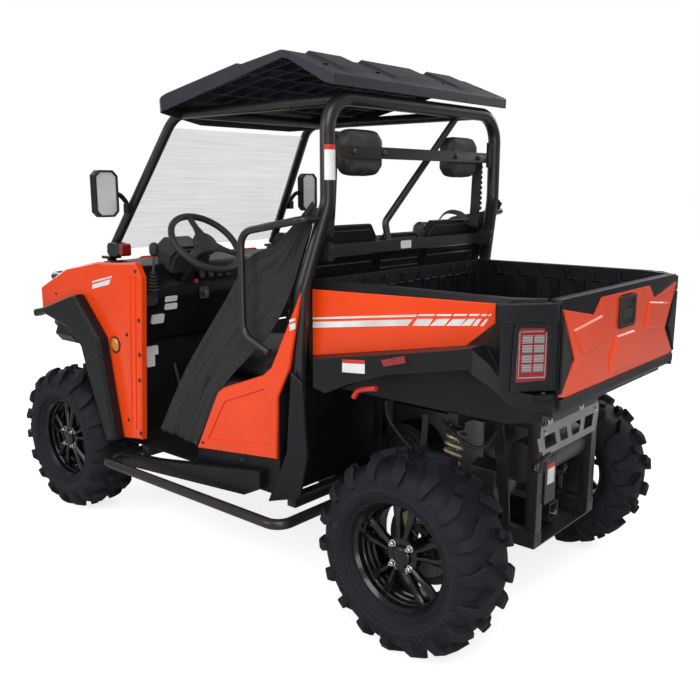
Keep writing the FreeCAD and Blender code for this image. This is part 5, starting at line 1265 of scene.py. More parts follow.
def side_labels():
    """Blank label, reflector and pull lever on the bed's fender, amber lamp on the front one."""
    drawn_piece("side_label", [(0.767, 0.893), (0.858, 0.901), (0.858, 0.931), (0.767, 0.922)],
                0.6395, 0.6412, SIDE, "white_label", "load_bed")
    drawn_piece("side_label_band",
                [(0.767, 0.9225), (0.858, 0.9315), (0.858, 0.943), (0.767, 0.934)],
                0.6395, 0.6412, SIDE, "red_label", "load_bed")
    red = bmesh.new()
    outline = [(0.923, 0.955), (0.934, 0.934), (1.016, 0.957), (1.010, 0.979)]
    prism(red, outline, 0.6380, 0.6455, SIDE)
    add_twin(red)
    piece_of("side_reflectors", red, "red_lens", "load_bed", edge=0.002)
    lever = bmesh.new()
    tube(lever, [(0.602, 0.782, 0.806), (0.604, 0.800, 0.830), (0.606, 0.836, 0.843),
                 (0.606, 0.876, 0.851)], 0.009, 5, 10)
    piece_of("bed_lever", lever, "red_label", "load_bed")
    amber = bmesh.new()
    turned(amber, [(-0.004, 0.030), (0.004, 0.030), (0.009, 0.024), (0.011, 0.010)],
           AMBER_LAMP, sides=28, closed=False)
    add_twin(amber)
    piece_of("side_ambers", amber, "amber_lens")
    rims = bmesh.new()
    turned(rims, [(-0.002, 0.030), (-0.002, 0.036), (0.004, 0.035), (0.005, 0.031)], AMBER_LAMP,
           sides=28)
    for across, radius, places in ((0.6005, 0.008, FENDER_SCREWS), (0.6495, 0.006, FLARE_SCREWS),
                                   (0.6105, 0.006, SEAT_PANEL_SCREWS)):
        for along, up in places:
            screw(rims, (across, along, up), (1, 0, 0), radius)
    add_twin(rims)
    piece_of("panel_screws", rims, "grip_plastic")


# Soft goods: each cushion's span along x, and each back's span with its top's height
SOFT_FRAMES = 20
LEAN = math.radians(9)
BACK_FOOT = (0.3893, 0.765)
CUSHIONS = (("left", 0.135, 0.535), ("middle", -0.115, 0.115), ("right", -0.535, -0.135))
BACKS = (("left", 0.150, 0.535, 1.344), ("middle", -0.138, 0.138, 1.304),
         ("right", -0.535, -0.150, 1.344))


def inflate(piece, pressure, reach):
    """Blows a closed pad up as cloth; no point moves further than reach."""
    start = [vert.co.copy() for vert in piece.data.vertices]
    cloth = piece.modifiers.new("cloth", "CLOTH")
    cloth.settings.use_pressure = True
    cloth.settings.uniform_pressure_force = pressure
    cloth.settings.effector_weights.gravity = 0.0
    cloth.settings.tension_stiffness = 25.0
    cloth.settings.compression_stiffness = 25.0
    cloth.settings.bending_stiffness = 0.6
    cloth.collision_settings.use_collision = False
    cloth.point_cache.frame_start = 1
    cloth.point_cache.frame_end = SOFT_FRAMES
    for step in range(1, SOFT_FRAMES + 1):
        bpy.context.scene.frame_set(step)
        bpy.context.view_layer.update()
    baked(piece)
    bpy.context.scene.frame_set(1)
    for vert, before in zip(piece.data.vertices, start):
        moved = vert.co - before
        if moved.length > reach:
            vert.co = before + moved.normalized() * reach


def dent(piece, measure, width, depth):
    """Draws a seam: presses the points near where measure is zero into the pad."""
    normals = [vert.normal.copy() for vert in piece.data.vertices]
    for vert, normal in zip(piece.data.vertices, normals):
        away = measure(vert.co) / width
        if abs(away) < 3.0:
            vert.co -= normal * (depth * math.exp(-away * away))


def pad(name, centre, size, turn, voxel, corner, seams, reach=0.014):
    """A stuffed pad: a block with cut corners, blown up, with its seams drawn in after."""
    width, depth, height = size
    bm = bmesh.new()
    prism(bm, oblong(width, depth, corner), -height / 2, height / 2)
    bmesh.ops.bevel(bm, geom=bm.edges[:], offset=min(0.024, height * 0.24), segments=3,
                    affect="EDGES", profile=0.5)
    mesh = bpy.data.meshes.new(name)
    bm.to_mesh(mesh)
    bm.free()
    piece = object_of(name, mesh)
    grain = piece.modifiers.new("remesh", "REMESH")
    grain.mode = "VOXEL"
    grain.voxel_size = voxel
    baked(piece)
    inflate(piece, 4.0, reach)
    for measure, seam_width, seam_depth in seams:
        dent(piece, measure, seam_width, seam_depth)
    piece.data.transform(Matrix.Translation(centre) @ turn)
    piece.data.materials.clear()
    piece.data.materials.append(FINISHES["cushion_cover"])
    piece.data.shade_smooth()
    fine = piece.modifiers.new("fine", "SUBSURF")
    fine.levels = 1
    fine.render_levels = 1
    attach(piece, "vehicle")
    return piece


def back_shell(shell, marks, place, wide, long):
    """Hard shell behind a seat back, in two steps, with two level pale strips on it that are a
    painted highlight on the edges of its grooves.
    """
    rear = [(-wide, -long / 2 + 0.01), (wide, -long / 2 + 0.01), (wide, long / 2 - 0.05),
            (wide - 0.035, long / 2 - 0.008), (-wide + 0.035, long / 2 - 0.008),
            (-wide, long / 2 - 0.05)]
    prism(shell, rear, 0.022, 0.038, place @ REAR)
    inner = [(across * 0.90, up * 0.94) for across, up in rear]
    prism(shell, inner, 0.036, 0.0445, place @ REAR)
    # Painted highlight: two pale metal-coloured strips stand for light on the level grooves' edges.
    for level in (0.30, 0.25):
        up = long * level
        prism(marks, rectangle(-wide * 0.86, wide * 0.86, up, up + 0.004), 0.0435, 0.0462,
              place @ REAR)


def seat():
    """Bench of three cushions and three leaning backs with hard rear shells."""
    for name, low, high in CUSHIONS:
        width = high - low - 0.014
        half = width / 2
        seams = [(lambda co, at=half - 0.050: abs(co.x) - at, 0.0045, 0.0060),
                 (lambda co: co.y + 0.120, 0.0045, 0.0060),
                 (lambda co: co.z + 0.006 if abs(co.x) > 0.02 else 1.0, 0.004, 0.0035)]
        if name != "middle":
            seams.append((lambda co: co.y - 0.020 if abs(co.x) < 0.148 else 1.0, 0.004, 0.0045))
        piece = pad("seat_cushion_" + name, ((low + high) / 2, 0.1455, 0.8155),
                    (width, 0.372, 0.088), PLAN, 0.009, 0.030, seams)
        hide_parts("seat_cushions")
    shell = bmesh.new()
    marks = bmesh.new()
    for name, low, high, top in BACKS:
        turn = Matrix.Rotation(-LEAN, 4, "X")
        long = (top - BACK_FOOT[1]) / math.cos(LEAN)
        foot = Vector(((low + high) / 2, *BACK_FOOT))
        middle = foot + turn @ Vector((0.0, 0.0, long / 2))
        half = (high - low) / 2
        seams = [(lambda co, at=half - 0.052: abs(co.x) - at, 0.0045, 0.0055),
                 (lambda co, at=long: co.z - at * 0.30, 0.0045, 0.0055),
                 (lambda co, at=long: co.z + at * 0.02, 0.0045, 0.0045)]
        piece = pad("seat_back_" + name, middle + turn @ Vector((0.0, -0.012, 0.0)),
                    (high - low - 0.012, 0.050, long - 0.020), turn, 0.009, 0.012, seams)
        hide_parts("seat_backs")
        back_shell(shell, marks, Matrix.Translation(middle) @ turn, half - 0.004, long)
        if name != "middle":
            spot = Matrix.Translation(middle) @ turn @ Vector((0.0, 0.0455, long * 0.36))
            screw(marks, spot, turn @ Vector((0, 1, 0)), 0.007)
    piece_of("seat_back_shells", shell, "black_plastic", edge=0.005, stands_for=["seat_backs"])
    # The marks hold the painted highlight strips of the grooves and the screws.
    piece_of("seat_back_marks", marks, "steel_plate")


def headrest_pads():
    """A flat pad upright on each side of the headrest bar."""
    for name, side in (("left", 1), ("right", -1)):
        seams = [(lambda co: co.z + 0.004, 0.0030, 0.0025)]
        piece = pad("headrest_" + name, (side * 0.310, 0.5570, 1.578), (0.204, 0.152, 0.060),
                    Matrix.Rotation(math.radians(90), 4, "X"), 0.006, 0.030, seams, 0.003)
        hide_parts("headrests")


def strap(name, path, width, thick=0.0022, flat_to=(1.0, 0.0, 0.0)):
    """Webbing along a path."""
    bm = bmesh.new()
    run = smooth_path(path, 6)
    sweep(bm, run, oblong(width, thick, thick * 0.3), up=flat_to)
    piece = piece_of(name, bm, "webbing")
    return piece


def belts():
    """Belts from the hoop's ends to the seat, a row of beads as their guide, and the buckles."""
    for side, label in ((1, "left"), (-1, "right")):
        strap("belt_" + label, [(side * 0.452, 0.560, 1.560), (side * 0.452, 0.556, 1.470),
                                (side * 0.454, 0.552, 1.385), (side * 0.456, 0.545, 1.300)], 0.046)
        strap("belt_lower_" + label, [(side * 0.446, 0.520, 1.320), (side * 0.440, 0.476, 1.354),
                                      (side * 0.426, 0.412, 1.346), (side * 0.400, 0.362, 1.240),
                                      (side * 0.345, 0.332, 1.120), (side * 0.280, 0.300, 1.000),
                                      (side * 0.200, 0.262, 0.905)], 0.046,
              flat_to=(0.0, -1.0, 0.3))
    bm = bmesh.new()
    for step in range(9):
        up = 1.375 + 0.021 * step
        turned(bm, [(-0.009, 0.009), (-0.005, 0.015), (0.005, 0.015), (0.009, 0.009)],
               (0.472, 0.556, up), (0, 0, 1), 14, False)
    for spot in ((0.120, 0.262, 0.905), (0.165, 0.262, 0.905)):
        block(bm, spot, (0.026, 0.018, 0.070))
    add_twin(bm)
    piece_of("belt_guides", bm, "grip_plastic", edge=0.002)
    red = bmesh.new()
    for spot in ((0.120, 0.262, 0.941), (0.165, 0.262, 0.941)):
        block(red, spot, (0.016, 0.012, 0.004))
    add_twin(red)
    piece_of("belt_buttons", red, "red_label")


NET_FRONT = ((-0.231, 0.499), (-0.054, 0.777), (0.152, 1.046), (0.287, 1.209), (0.403, 1.255),
             (0.515, 1.339), (0.592, 1.410))
NET_REAR = ((-0.028, 0.481), (0.132, 0.736), (0.300, 0.900), (0.386, 0.985), (0.470, 1.120),
            (0.545, 1.290), (0.600, 1.400))


def net_face(up):
    """How far out the net hangs at one height: it draws in toward the hoop."""
    return 0.604 - 0.028 * min(1.0, max(0.0, (up - 0.70) / 0.35))


def nets():
    """Side nets from the hoop down to the floor: a mesh with soft folds and a hem."""
    for side, label in ((1, "left"), (-1, "right")):
        bm = bmesh.new()
        first = smooth_path([(0.0, along, up) for along, up in NET_FRONT], 8)
        last = smooth_path([(0.0, along, up) for along, up in NET_REAR], 8)
        rows = []
        wide = 14
        for step, (front, rear) in enumerate(zip(first, last)):
            row = []
            for column in range(wide + 1):
                spot = front.lerp(rear, column / wide)
                base = net_face(spot.z)
                fold = 0.0050 * math.sin(column * 1.9 + step * 0.10)
                fold += 0.0035 * math.sin(column * 0.7 - step * 0.21)
                keep = min(1.0, column / 2, (wide - column) / 2)
                row.append(bm.verts.new((side * (base + fold * keep), spot.y, spot.z)))
            rows.append(row)
        for before, after in zip(rows, rows[1:]):
            for column in range(wide):
                bm.faces.new((before[column], before[column + 1], after[column + 1],
                              after[column]))
        piece = piece_of("side_net_" + label, bm, "net_mesh")
        thick = piece.modifiers.new("thick", "SOLIDIFY")
        thick.thickness = 0.0014
        thick.offset = 0.0
        for edge, line in (("front", NET_FRONT), ("rear", NET_REAR)):
            path = [(side * net_face(up), along, up) for along, up in line]
            strap("net_hem_%s_%s" % (edge, label), path, 0.024, 0.003, (side, 0.0, 0.0))


def slab(bm, centre, width, height, corner, low, high, across=(1, 0, 0), up=(0, 0, 1)):
    """A plate with cut corners, standing from low to high along its own outward direction."""
    prism(bm, oblong(width, height, corner), low, high, frame_at(centre, across, up))


def wrap(bm, centre, radius, start, end, low, high, thick=0.0008):
    """A label bent round an upright tube, from one angle in degrees to another."""
    outer = []
    inner = []
    for step in range(9):
        angle = math.radians(start + (end - start) * step / 8)
        turn = Vector((math.cos(angle), math.sin(angle)))
        outer.append(tuple(Vector(centre) + turn * (radius + thick)))
        inner.append(tuple(Vector(centre) + turn * (radius - thick)))
    prism(bm, outer + inner[::-1], low, high, PLAN)


MIRROR_MIDDLE = (0.600, -0.553, 1.435)


def mirrors():
    """Rounded mirror heads with a bezel, glass and an arm clamped to the pillar."""
    heads = bmesh.new()
    glass = bmesh.new()
    face = {"across": (-1, 0, 0), "up": (0, 0, 1)}
    slab(heads, MIRROR_MIDDLE, 0.108, 0.188, 0.020, -0.019, 0.008, **face)
    slab(heads, MIRROR_MIDDLE, 0.084, 0.160, 0.026, -0.0198, -0.005, **face)
    collar(heads, oblong(0.108, 0.188, 0.022), oblong(0.092, 0.172, 0.018), 0.006, 0.0195,
           frame_at(MIRROR_MIDDLE, **face))
    tube(heads, [(0.549, -0.556, 1.432), (0.522, -0.562, 1.428), (0.492, -0.566, 1.400),
                 (0.484, -0.566, 1.372)], 0.010, 6, 12)
    block(heads, (0.482, -0.566, 1.372), (0.030, 0.030, 0.040))
    slab(glass, MIRROR_MIDDLE, 0.094, 0.174, 0.018, 0.006, 0.0120, **face)
    add_twin(heads)
    add_twin(glass)
    piece_of("mirror_heads", heads, "black_plastic", edge=0.003, stands_for=["mirrors"])
    # The mirror glass's pale diffuse colour is a painted reflection.
    piece_of("mirror_glass", glass, "mirror_glass")


def pillar_lamps():
    """Grey lamp on each pillar's foot, its rear end red."""
    grey = bmesh.new()
    slab(grey, (0.493, -0.645, 1.199), 0.085, 0.058, 0.012, -0.026, 0.026, (0, 1, 0), (0, 0, 1))
    add_twin(grey)
    piece_of("pillar_lamps", grey, "roof_plastic", edge=0.005)
    red = bmesh.new()
    slab(red, (0.493, -0.590, 1.199), 0.026, 0.054, 0.008, -0.024, 0.024, (0, 1, 0), (0, 0, 1))
    add_twin(red)
    piece_of("pillar_lamp_ends", red, "red_lens", edge=0.004)


def gauge_pod(dark):
    """Pod of the gauges with its hood."""
    pod = frame_at((0.290, -0.500, 1.185), (1, 0, 0), (0, 0.35, 1))
    prism(dark, [(-0.095, -0.050), (0.095, -0.050), (0.095, 0.015), (0.060, 0.052),
                 (-0.060, 0.052), (-0.095, 0.015)], -0.110, 0.000, pod)
    hood = [(-0.105, -0.020), (-0.105, 0.020), (-0.066, 0.062), (0.066, 0.062), (0.105, 0.020),
            (0.105, -0.020), (0.097, -0.020), (0.097, 0.017), (0.062, 0.054), (-0.062, 0.054),
            (-0.097, 0.017), (-0.097, -0.020)]
    for before, after in ((0, 1), (1, 2), (2, 3), (3, 4), (4, 5)):
        prism(dark, [hood[before], hood[after], hood[11 - after], hood[11 - before]], -0.090,
              0.022, pod)


def gear_boot(dark):
    """Folded boot and knob of the gear lever."""
    for step in range(6):
        radius = 0.032 - 0.0035 * step
        turned(dark, [(-0.006, radius * 0.75), (0.0, radius), (0.006, radius * 0.75)],
               (0.480, -0.432 + 0.003 * step, 1.045 + 0.013 * step), (0, 0.25, 1), 20, False)
    turned(dark, [(-0.028, 0.010), (-0.020, 0.018), (0.004, 0.021), (0.020, 0.018), (0.028, 0.008)],
           (0.480, -0.403, 1.210), (0, 0.1, 1), 20, False)


def dash():
    """Gauge pod, switches, panels, gear lever and screen."""
    dark = bmesh.new()
    gauge_pod(dark)
    for across in (-0.150, -0.100, 0.050, 0.100, 0.150, 0.200):
        slab(dark, (across, -0.4475, 1.085), 0.030, 0.042, 0.004, -0.006, 0.006, (-1, 0, 0),
             (0, -0.18, 1))
    slab(dark, (-0.280, -0.452, 1.020), 0.260, 0.150, 0.014, -0.004, 0.004, (-1, 0, 0),
         (0, -0.1, 1))
    slab(dark, (0.480, -0.450, 1.030), 0.070, 0.120, 0.016, -0.010, 0.008, (-1, 0, 0), (0, -0.1, 1))
    gear_boot(dark)
    piece_of("dash_fittings", dark, "grip_plastic", edge=0.002)
    bright = bmesh.new()
    bar(bright, (0.480, -0.420, 1.100), (0.480, -0.404, 1.200), 0.006, 12)
    slab(bright, (0.195, -0.4440, 1.000), 0.052, 0.052, 0.006, -0.002, 0.006, (-1, 0, 0),
         (0, -0.05, 1))
    bar(bright, (0.195, -0.440, 1.000), (0.195, -0.424, 1.003), 0.012, 20)
    piece_of("dash_metal", bright, "bare_metal")
    screen = bmesh.new()
    slab(screen, (0.290, -0.500, 1.187), 0.120, 0.056, 0.008, 0.000, 0.004, (1, 0, 0),
         (0, 0.35, 1))
    # The gauge screen uses the mirror glass, whose pale diffuse colour is a painted reflection.
    piece_of("gauge_screen", screen, "mirror_glass")
    dot = bmesh.new()
    bar(dot, (0.240, -0.446, 1.055), (0.240, -0.432, 1.057), 0.009, 18)
    piece_of("dash_red_switch", dot, "red_label")


def cab_labels():
    """Blank labels on the dashboard's face and low on the wall behind the pedals."""
    labels = bmesh.new()
    for across, up, wide, high in ((0.375, 0.990, 0.062, 0.024), (0.370, 0.955, 0.062, 0.026),
                                   (0.430, 0.905, 0.060, 0.040)):
        slab(labels, (across, -0.4415 - 0.30 * max(0.0, 0.985 - up), up), wide, high, 0.003,
             -0.012, 0.0012, (-1, 0, 0), (0, 0.30, 1))
    for across, up, wide, high in ((0.430, 0.760, 0.060, 0.040), (0.440, 0.715, 0.040, 0.050)):
        slab(labels, (across, -0.5180, up), wide, high, 0.003, -0.012, 0.0012, (-1, 0, 0),
             (0, 0, 1))
    piece_of("cab_labels", labels, "white_label")


def pedals():
    """Two pedals with grip bars on their faces."""
    bm = bmesh.new()
    for across in (0.190, 0.330):
        slab(bm, (across, -0.440, 0.520), 0.060, 0.074, 0.008, -0.004, 0.005, (-1, 0, 0),
             (0, -0.5, 1))
        for row in range(4):
            block(bm, (across, -0.4345 - 0.0085 * row, 0.500 + 0.015 * row),
                  (0.050, 0.005, 0.004))
        tube(bm, [(across, -0.445, 0.530), (across, -0.470, 0.600), (across, -0.500, 0.690)],
             0.007, 4, 10)
    piece_of("pedals", bm, "grip_plastic", edge=0.001)


# The steering wheel's middle and the lean of its plane
STEERING_MIDDLE = Vector((0.290, -0.303, 1.231))
STEERING_TILT = math.radians(46)


def wheel_cover():
    """Padded boss and three broad spokes on the steering wheel."""
    bm = bmesh.new()
    centre = STEERING_MIDDLE
    face = frame_at(centre, (1, 0, 0), (0, -math.cos(STEERING_TILT), math.sin(STEERING_TILT)))
    out = face.to_3x3() @ Vector((0, 0, 1))
    if out.y < 0:
        out = -out
    low = centre - out * 0.004
    turned(bm, [(-0.016, 0.050), (0.004, 0.056), (0.014, 0.050), (0.018, 0.030)], low, out, 40,
           False)
    for angle in (90, 210, 330):
        turn = math.radians(angle)
        along = face.to_3x3() @ Vector((math.cos(turn), math.sin(turn), 0))
        side = out.cross(along)
        start = centre + along * 0.045
        end = centre + along * 0.140
        rows = []
        for spot, wide in ((start, 0.026), (centre + along * 0.090, 0.015), (end, 0.013)):
            rows.append([bm.verts.new(spot + side * across + out * up)
                         for across, up in oblong(wide * 2, 0.010, 0.003)])
        join_rings(bm, rows, False)
    piece_of("steering_boss", bm, "grip_plastic", "steering", edge=0.001)


# The hoop's upright tube, as the middle and the radius of what is wrapped round it
HOOP_TUBE = ((0.517, 0.597), 0.0252)


def hoop_fittings():
    """Round bolts and slot on the headrest bar, bracket plates, tube labels, hip label."""
    dark = bmesh.new()
    for side in (1, -1):
        for across in (0.228, 0.392):
            turned(dark, [(-0.001, 0.011), (0.005, 0.010), (0.007, 0.006)],
                   (side * across, 0.600, 1.578), (0, 1, 0), 18, False)
        block(dark, (side * 0.478, 0.599, 1.590), (0.030, 0.012, 0.100))
        for up in (1.555, 1.625):
            bolt(dark, (side * 0.478, 0.605, up), (0, 1, 0), 0.006)
        block(dark, (side * 0.505, 0.575, 1.252), (0.022, 0.060, 0.060))
        bolt(dark, (side * 0.505, 0.605, 1.262), (0, 1, 0), 0.006)
    prism(dark, oblong(0.110, 0.012, 0.005), 0.5995, 0.6006,
          Matrix.Translation((0, 0, 1.578)) @ REAR)
    piece_of("hoop_fittings", dark, "frame_paint", edge=0.0015)
    labels = bmesh.new()
    wrap(labels, *HOOP_TUBE, 20, 150, 1.485, 1.580)
    slab(labels, (0.025, 0.5512, 1.250), 0.064, 0.029, 0.003, -0.001, 0.001, (-1, 0, 0), (0, 0, 1))
    piece_of("hoop_labels", labels, "white_label")
    bands = bmesh.new()
    wrap(bands, *HOOP_TUBE, 20, 150, 1.5805, 1.596)
    piece_of("hoop_label_bands", bands, "red_label")


def front_lamps():
    """Lenses in the nose, with chrome bowls."""
    bm = bmesh.new()
    prism(bm, [(0.280, 0.755), (0.398, 0.772), (0.394, 0.812), (0.286, 0.800)], -1.318, -1.306,
          REAR)
    add_twin(bm)
    piece_of("front_lamp_lenses", bm, "clear_lens", edge=0.004)
    bowls = bmesh.new()
    for across in (0.315, 0.362):
        turned(bowls, [(-0.010, 0.006), (0.004, 0.018), (0.006, 0.0185), (-0.008, 0.003)],
               (across, -1.302, 0.784), (0, -1, 0), 24)
    add_twin(bowls)
    piece_of("front_lamp_bowls", bowls, "chrome")


# Shock absorbers: foot and top on the left, in metres, for each axle's place along y
SHOCK_FOOT = Vector((0.385, 0.0, 0.4453))
SHOCK_TOP = Vector((0.302, 0.0, 0.692))
AXLES = (("front", -0.921), ("rear", 0.985))
COIL_TURNS = 7


def shock_absorbers():
    """Damper, rod, mounts and an open coil at every wheel."""
    dark = bmesh.new()
    coils = bmesh.new()
    for _, along in AXLES:
        shift = Vector((0.0, along, 0.0))
        foot = SHOCK_FOOT + shift
        top = SHOCK_TOP + shift
        line = top - foot
        bar(dark, foot + line * 0.05, foot + line * 0.62, 0.0170, 24)
        bar(dark, foot + line * 0.60, foot + line * 0.95, 0.0075, 16)
        bar(dark, foot + line * 0.16, foot + line * 0.19, 0.0330, 28)
        bar(dark, foot + line * 0.86, foot + line * 0.90, 0.0330, 28)
        for spot in (foot + line * 0.02, foot + line * 0.97):
            bar(dark, spot - Vector((0, 0.018, 0)), spot + Vector((0, 0.018, 0)), 0.0145, 20)
            bolt(dark, spot + Vector((0, 0.018, 0)), (0, 1, 0), 0.006)
        across = line.cross(Vector((0, 1, 0))).normalized()
        path = []
        for step in range(COIL_TURNS * 14 + 1):
            angle = 2 * math.pi * step / 14
            share = 0.20 + 0.655 * step / (COIL_TURNS * 14)
            path.append(foot + line * share + (across * math.cos(angle)
                                               + Vector((0, 1, 0)) * math.sin(angle)) * 0.0280)
        sweep(coils, path, circle(0.0052, 8), up=line)
    add_twin(dark)
    add_twin(coils)
    piece_of("shock_dampers", dark, "frame_paint", stands_for=["shocks"])
    piece_of("shock_coils", coils, "spring_steel")


def guard():
    """Folded plate with slanted openings behind the engine."""
    plate = bmesh.new()
    low, high = 1.2395, 1.2440
    prism(plate, rectangle(-0.218, 0.218, 0.672, 0.698), low, high, REAR)
    prism(plate, [(-0.196, 0.603), (0.196, 0.603), (0.210, 0.627), (-0.210, 0.627)], low, high,
          REAR)
    for start, width in ((-0.216, 0.040), (-0.105, 0.030), (-0.020, 0.030), (0.066, 0.030),
                         (0.176, 0.040)):
        lean = 0.026 if start > -0.1 else -0.004
        prism(plate, [(start + 0.006, 0.625), (start + 0.006 + width, 0.625),
                      (start + width + lean, 0.674), (start + lean, 0.674)], low, high, REAR)
    prism(plate, [(1.238, 0.696), (1.2436, 0.696), (1.2436, 0.706), (1.236, 0.716),
                  (1.232, 0.713)], -0.216, 0.216, SIDE)
    piece_of("guard_plate_form", plate, "steel_plate", edge=0.0012, stands_for=["guard_plate"])


def guard_bracket():
    """Bracket and post behind the guard plate, with bolts and a blank label."""
    bracket = bmesh.new()
    prism(bracket, [(-0.205, 0.700), (0.205, 0.700), (0.185, 0.734), (-0.185, 0.734)], 1.2380,
          1.2420, REAR)
    prism(bracket, rectangle(0.101, 0.176, 0.432, 0.589), 1.2405, 1.2450, REAR)
    piece_of("guard_bracket", bracket, "frame_paint", edge=0.0012)
    bright = bmesh.new()
    for across in (0.160, -0.071):
        bolt(bright, (across, 1.2420, 0.718), (0, 1, 0), 0.009, 0.008)
    for across in (0.190, -0.190):
        bolt(bright, (across, 1.2440, 0.684), (0, 1, 0), 0.006)
    piece_of("guard_bolts", bright, "chrome")
    drawn_piece("post_label", rectangle(0.114, 0.161, 0.498, 0.552), 1.2448, 1.2458, REAR,
                "white_label")
    drawn_piece("post_label_band", rectangle(0.114, 0.161, 0.553, 0.569), 1.2448, 1.2458, REAR,
                "red_label")


def drive_fittings():
    """Frame gussets, rings and bolts of the drive cover and the exhaust's tail."""
    dark = bmesh.new()
    prism(dark, [(1.084, 0.710), (1.112, 0.704), (1.142, 0.494), (1.150, 0.358), (1.122, 0.352),
                 (1.102, 0.480), (1.086, 0.590)], 0.226, 0.234, SIDE)
    prism(dark, [(0.840, 0.700), (0.866, 0.700), (0.850, 0.420), (0.826, 0.420)], 0.300, 0.306,
          SIDE)
    for radius in (0.040, 0.066, 0.092):
        turned(dark, [(-0.003, radius - 0.005), (0.005, radius - 0.003), (0.005, radius + 0.003),
                      (-0.003, radius + 0.005)], (0.255, 0.730, 0.520), (1, 0, 0), 48)
    for place in range(8):
        angle = 2 * math.pi * place / 8
        bolt(dark, (0.2545, 0.730 + 0.103 * math.cos(angle), 0.520 + 0.103 * math.sin(angle)),
             (1, 0, 0), 0.005)
    tube(dark, [(0.100, 1.216, 0.580), (0.150, 1.232, 0.600), (0.205, 1.236, 0.590),
                (0.225, 1.238, 0.560)], 0.016, 6, 16)
    piece_of("drive_fittings", dark, "frame_paint", edge=0.0008)


def gear_housing():
    """Cast housing with a turned neck and a ring of bolts."""
    pale = bmesh.new()
    prism(pale, [(-0.070, -0.060), (0.050, -0.070), (0.070, -0.020), (0.062, 0.050), (0.010, 0.072),
                 (-0.064, 0.046)], -0.050, 0.050, Matrix.Translation((0.150, 1.030, 0.470)) @ REAR)
    turned(pale, [(-0.010, 0.030), (0.030, 0.034), (0.034, 0.026), (0.034, 0.010)],
           (0.150, 1.080, 0.470), (0, 1, 0), 28, False)
    for place in range(6):
        angle = 2 * math.pi * place / 6
        bolt(pale, (0.150 + 0.046 * math.cos(angle), 1.080, 0.470 + 0.046 * math.sin(angle)),
             (0, 1, 0), 0.005)
    piece_of("gear_housing", pale, "bare_metal", edge=0.004)


def hoses():
    """Breather hose over the drive case and brake hose from the bed's frame, on both sides."""
    hose = bmesh.new()
    tube(hose, [(0.330, 0.940, 0.700), (0.352, 1.000, 0.672), (0.350, 1.060, 0.640),
                (0.320, 1.100, 0.640), (0.270, 1.110, 0.680)], 0.007, 8, 12)
    tube(hose, [(0.452, 0.796, 0.768), (0.440, 0.800, 0.700), (0.410, 0.850, 0.620),
                (0.400, 0.930, 0.560), (0.420, 0.985, 0.450)], 0.005, 8, 10)
    add_twin(hose)
    piece_of("hoses", hose, "grip_plastic")


def brake_calipers():
    """Caliper over each disc, carried by the upright or the rear carrier."""
    for axle, along in AXLES:
        for side, hand in (("left", 1), ("right", -1)):
            low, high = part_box("%s_rim_%s" % (axle, side))
            centre = (low + high) / 2
            bm = bmesh.new()
            for step in range(5):
                angle = math.radians(100 + 13 * step)
                spot = Vector((centre.x - hand * 0.062, centre.y + 0.098 * math.cos(angle),
                               centre.z + 0.098 * math.sin(angle)))
                turn = Matrix.Rotation(angle, 4, "X")
                block(bm, spot, (0.030, 0.038, 0.026), turn)
            body = "knuckle_" + side if axle == "front" else "vehicle"
            piece_of("%s_caliper_%s" % (axle, side), bm, "spring_steel", body, 0.002)


def rounded(piece, width):
    """Rounds a piece's hard edges and shades the rest smooth."""
    weld = piece.modifiers.new("weld", "WELD")
    weld.merge_threshold = 0.00002
    flat = piece.modifiers.new("flat", "DECIMATE")
    flat.decimate_type = "DISSOLVE"
    flat.angle_limit = math.radians(0.6)
    soften(piece, width, 28.0)
    piece.data.shade_smooth()


# How far each carried-over solid's edges are rounded, in metres
EDGE_ROUND = {
    "sills": 0.005, "bed_tub": 0.003, "tailgate": 0.003, "dashboard": 0.006, "floor_pan": 0.002,
    "seat_box": 0.004, "engine": 0.006, "chassis": 0.002, "deck_frame": 0.002,
    "headrest_bar": 0.001, "hitch_receiver": 0.001,
}


def dress_solids():
    """Gives every carried-over solid its finish and its rounded edges."""
    for name, piece in NODES.items():
        piece.data.materials.clear()
        piece.data.materials.append(FINISHES[SLOTS[name]])
        if name in EDGE_ROUND:
            rounded(piece, EDGE_ROUND[name])


def seen_by_camera(made):
    """One for the camera's own rays and for those that come to it through glass."""
    rays = add_node(made, "ShaderNodeLightPath")
    seen = add_node(made, "ShaderNodeMath", operation="MAXIMUM")
    link(made, rays, "Is Camera Ray", seen, 0)
    link(made, rays, "Is Transmission Ray", seen, 1)
    return seen


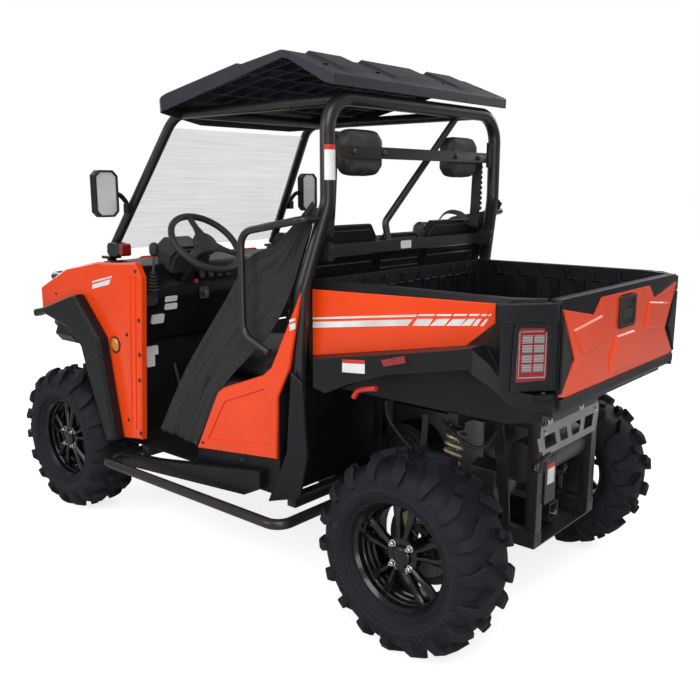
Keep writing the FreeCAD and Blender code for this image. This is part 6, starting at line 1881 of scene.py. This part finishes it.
def floor():
    """Pale floor that glows to white for the camera and keeps the shadow."""
    half = FLOOR_SIZE / 2
    mesh = bpy.data.meshes.new("floor")
    mesh.from_pydata([(-half, -half, 0), (half, -half, 0), (half, half, 0), (-half, half, 0)], [],
                     [(0, 1, 2, 3)])
    made = bpy.data.materials.new("floor")
    made.use_nodes = True
    made.node_tree.nodes.clear()
    out = add_node(made, "ShaderNodeOutputMaterial")
    matt = add_node(made, "ShaderNodeBsdfDiffuse", color=FLOOR_COLOUR)
    glow = add_node(made, "ShaderNodeEmission")
    scaled = add_node(made, "ShaderNodeMath", operation="MULTIPLY")
    scaled.inputs[1].default_value = FLOOR_GLOW
    total = add_node(made, "ShaderNodeAddShader")
    link(made, seen_by_camera(made), "Value", scaled, 0)
    link(made, scaled, "Value", glow, "Strength")
    link(made, matt, "BSDF", total, 0)
    link(made, glow, "Emission", total, 1)
    link(made, total, "Shader", out, "Surface")
    mesh.materials.append(made)
    object_of("floor", mesh)


def sky():
    """Even light from all round, seen as white by the camera and through glass."""
    world = bpy.data.worlds.new("studio")
    bpy.context.scene.world = world
    world.use_nodes = True
    light = world.node_tree.nodes["Background"]
    light.inputs["Color"].default_value = (1.0, 1.0, 1.0, 1.0)
    level = add_node(world, "ShaderNodeMapRange", to_min=SKY_LIGHT, to_max=1.0)
    link(world, seen_by_camera(world), "Value", level, "Value")
    link(world, level, "Result", light, "Strength")


def lamps():
    for name, place, size, power in LAMPS:
        data = bpy.data.lights.new(name, "AREA")
        data.shape = "SQUARE"
        data.size = size
        data.energy = power
        lamp = object_of(name, data)
        lamp.location = place
        lamp.rotation_euler = (LAMP_AIM - Vector(place)).to_track_quat("-Z", "Y").to_euler()


def camera():
    data = bpy.data.cameras.new("camera")
    data.sensor_width = 36.0
    data.lens = CAMERA_LENS
    data.clip_end = 100.0
    made = object_of("camera", data)
    turn = math.radians(CAMERA_AZIMUTH)
    rise = math.radians(CAMERA_ELEVATION)
    look = Vector((-math.sin(turn) * math.cos(rise), math.cos(turn) * math.cos(rise),
                   -math.sin(rise)))
    made.location = CAMERA_PLACE
    made.rotation_euler = look.to_track_quat("-Z", "Y").to_euler()
    bpy.context.scene.camera = made


dress_solids()
wheels()
roof()
panels()
bed_lining()
tail_lamps()
gate_trim()
stripes()
side_labels()
seat()
headrest_pads()
belts()
nets()
mirrors()
pillar_lamps()
dash()
cab_labels()
pedals()
wheel_cover()
hoop_fittings()
front_lamps()
shock_absorbers()
guard()
guard_bracket()
drive_fittings()
gear_housing()
hoses()
brake_calipers()
floor()
sky()
lamps()
camera()
bpy.context.scene.view_settings.view_transform = "Standard"
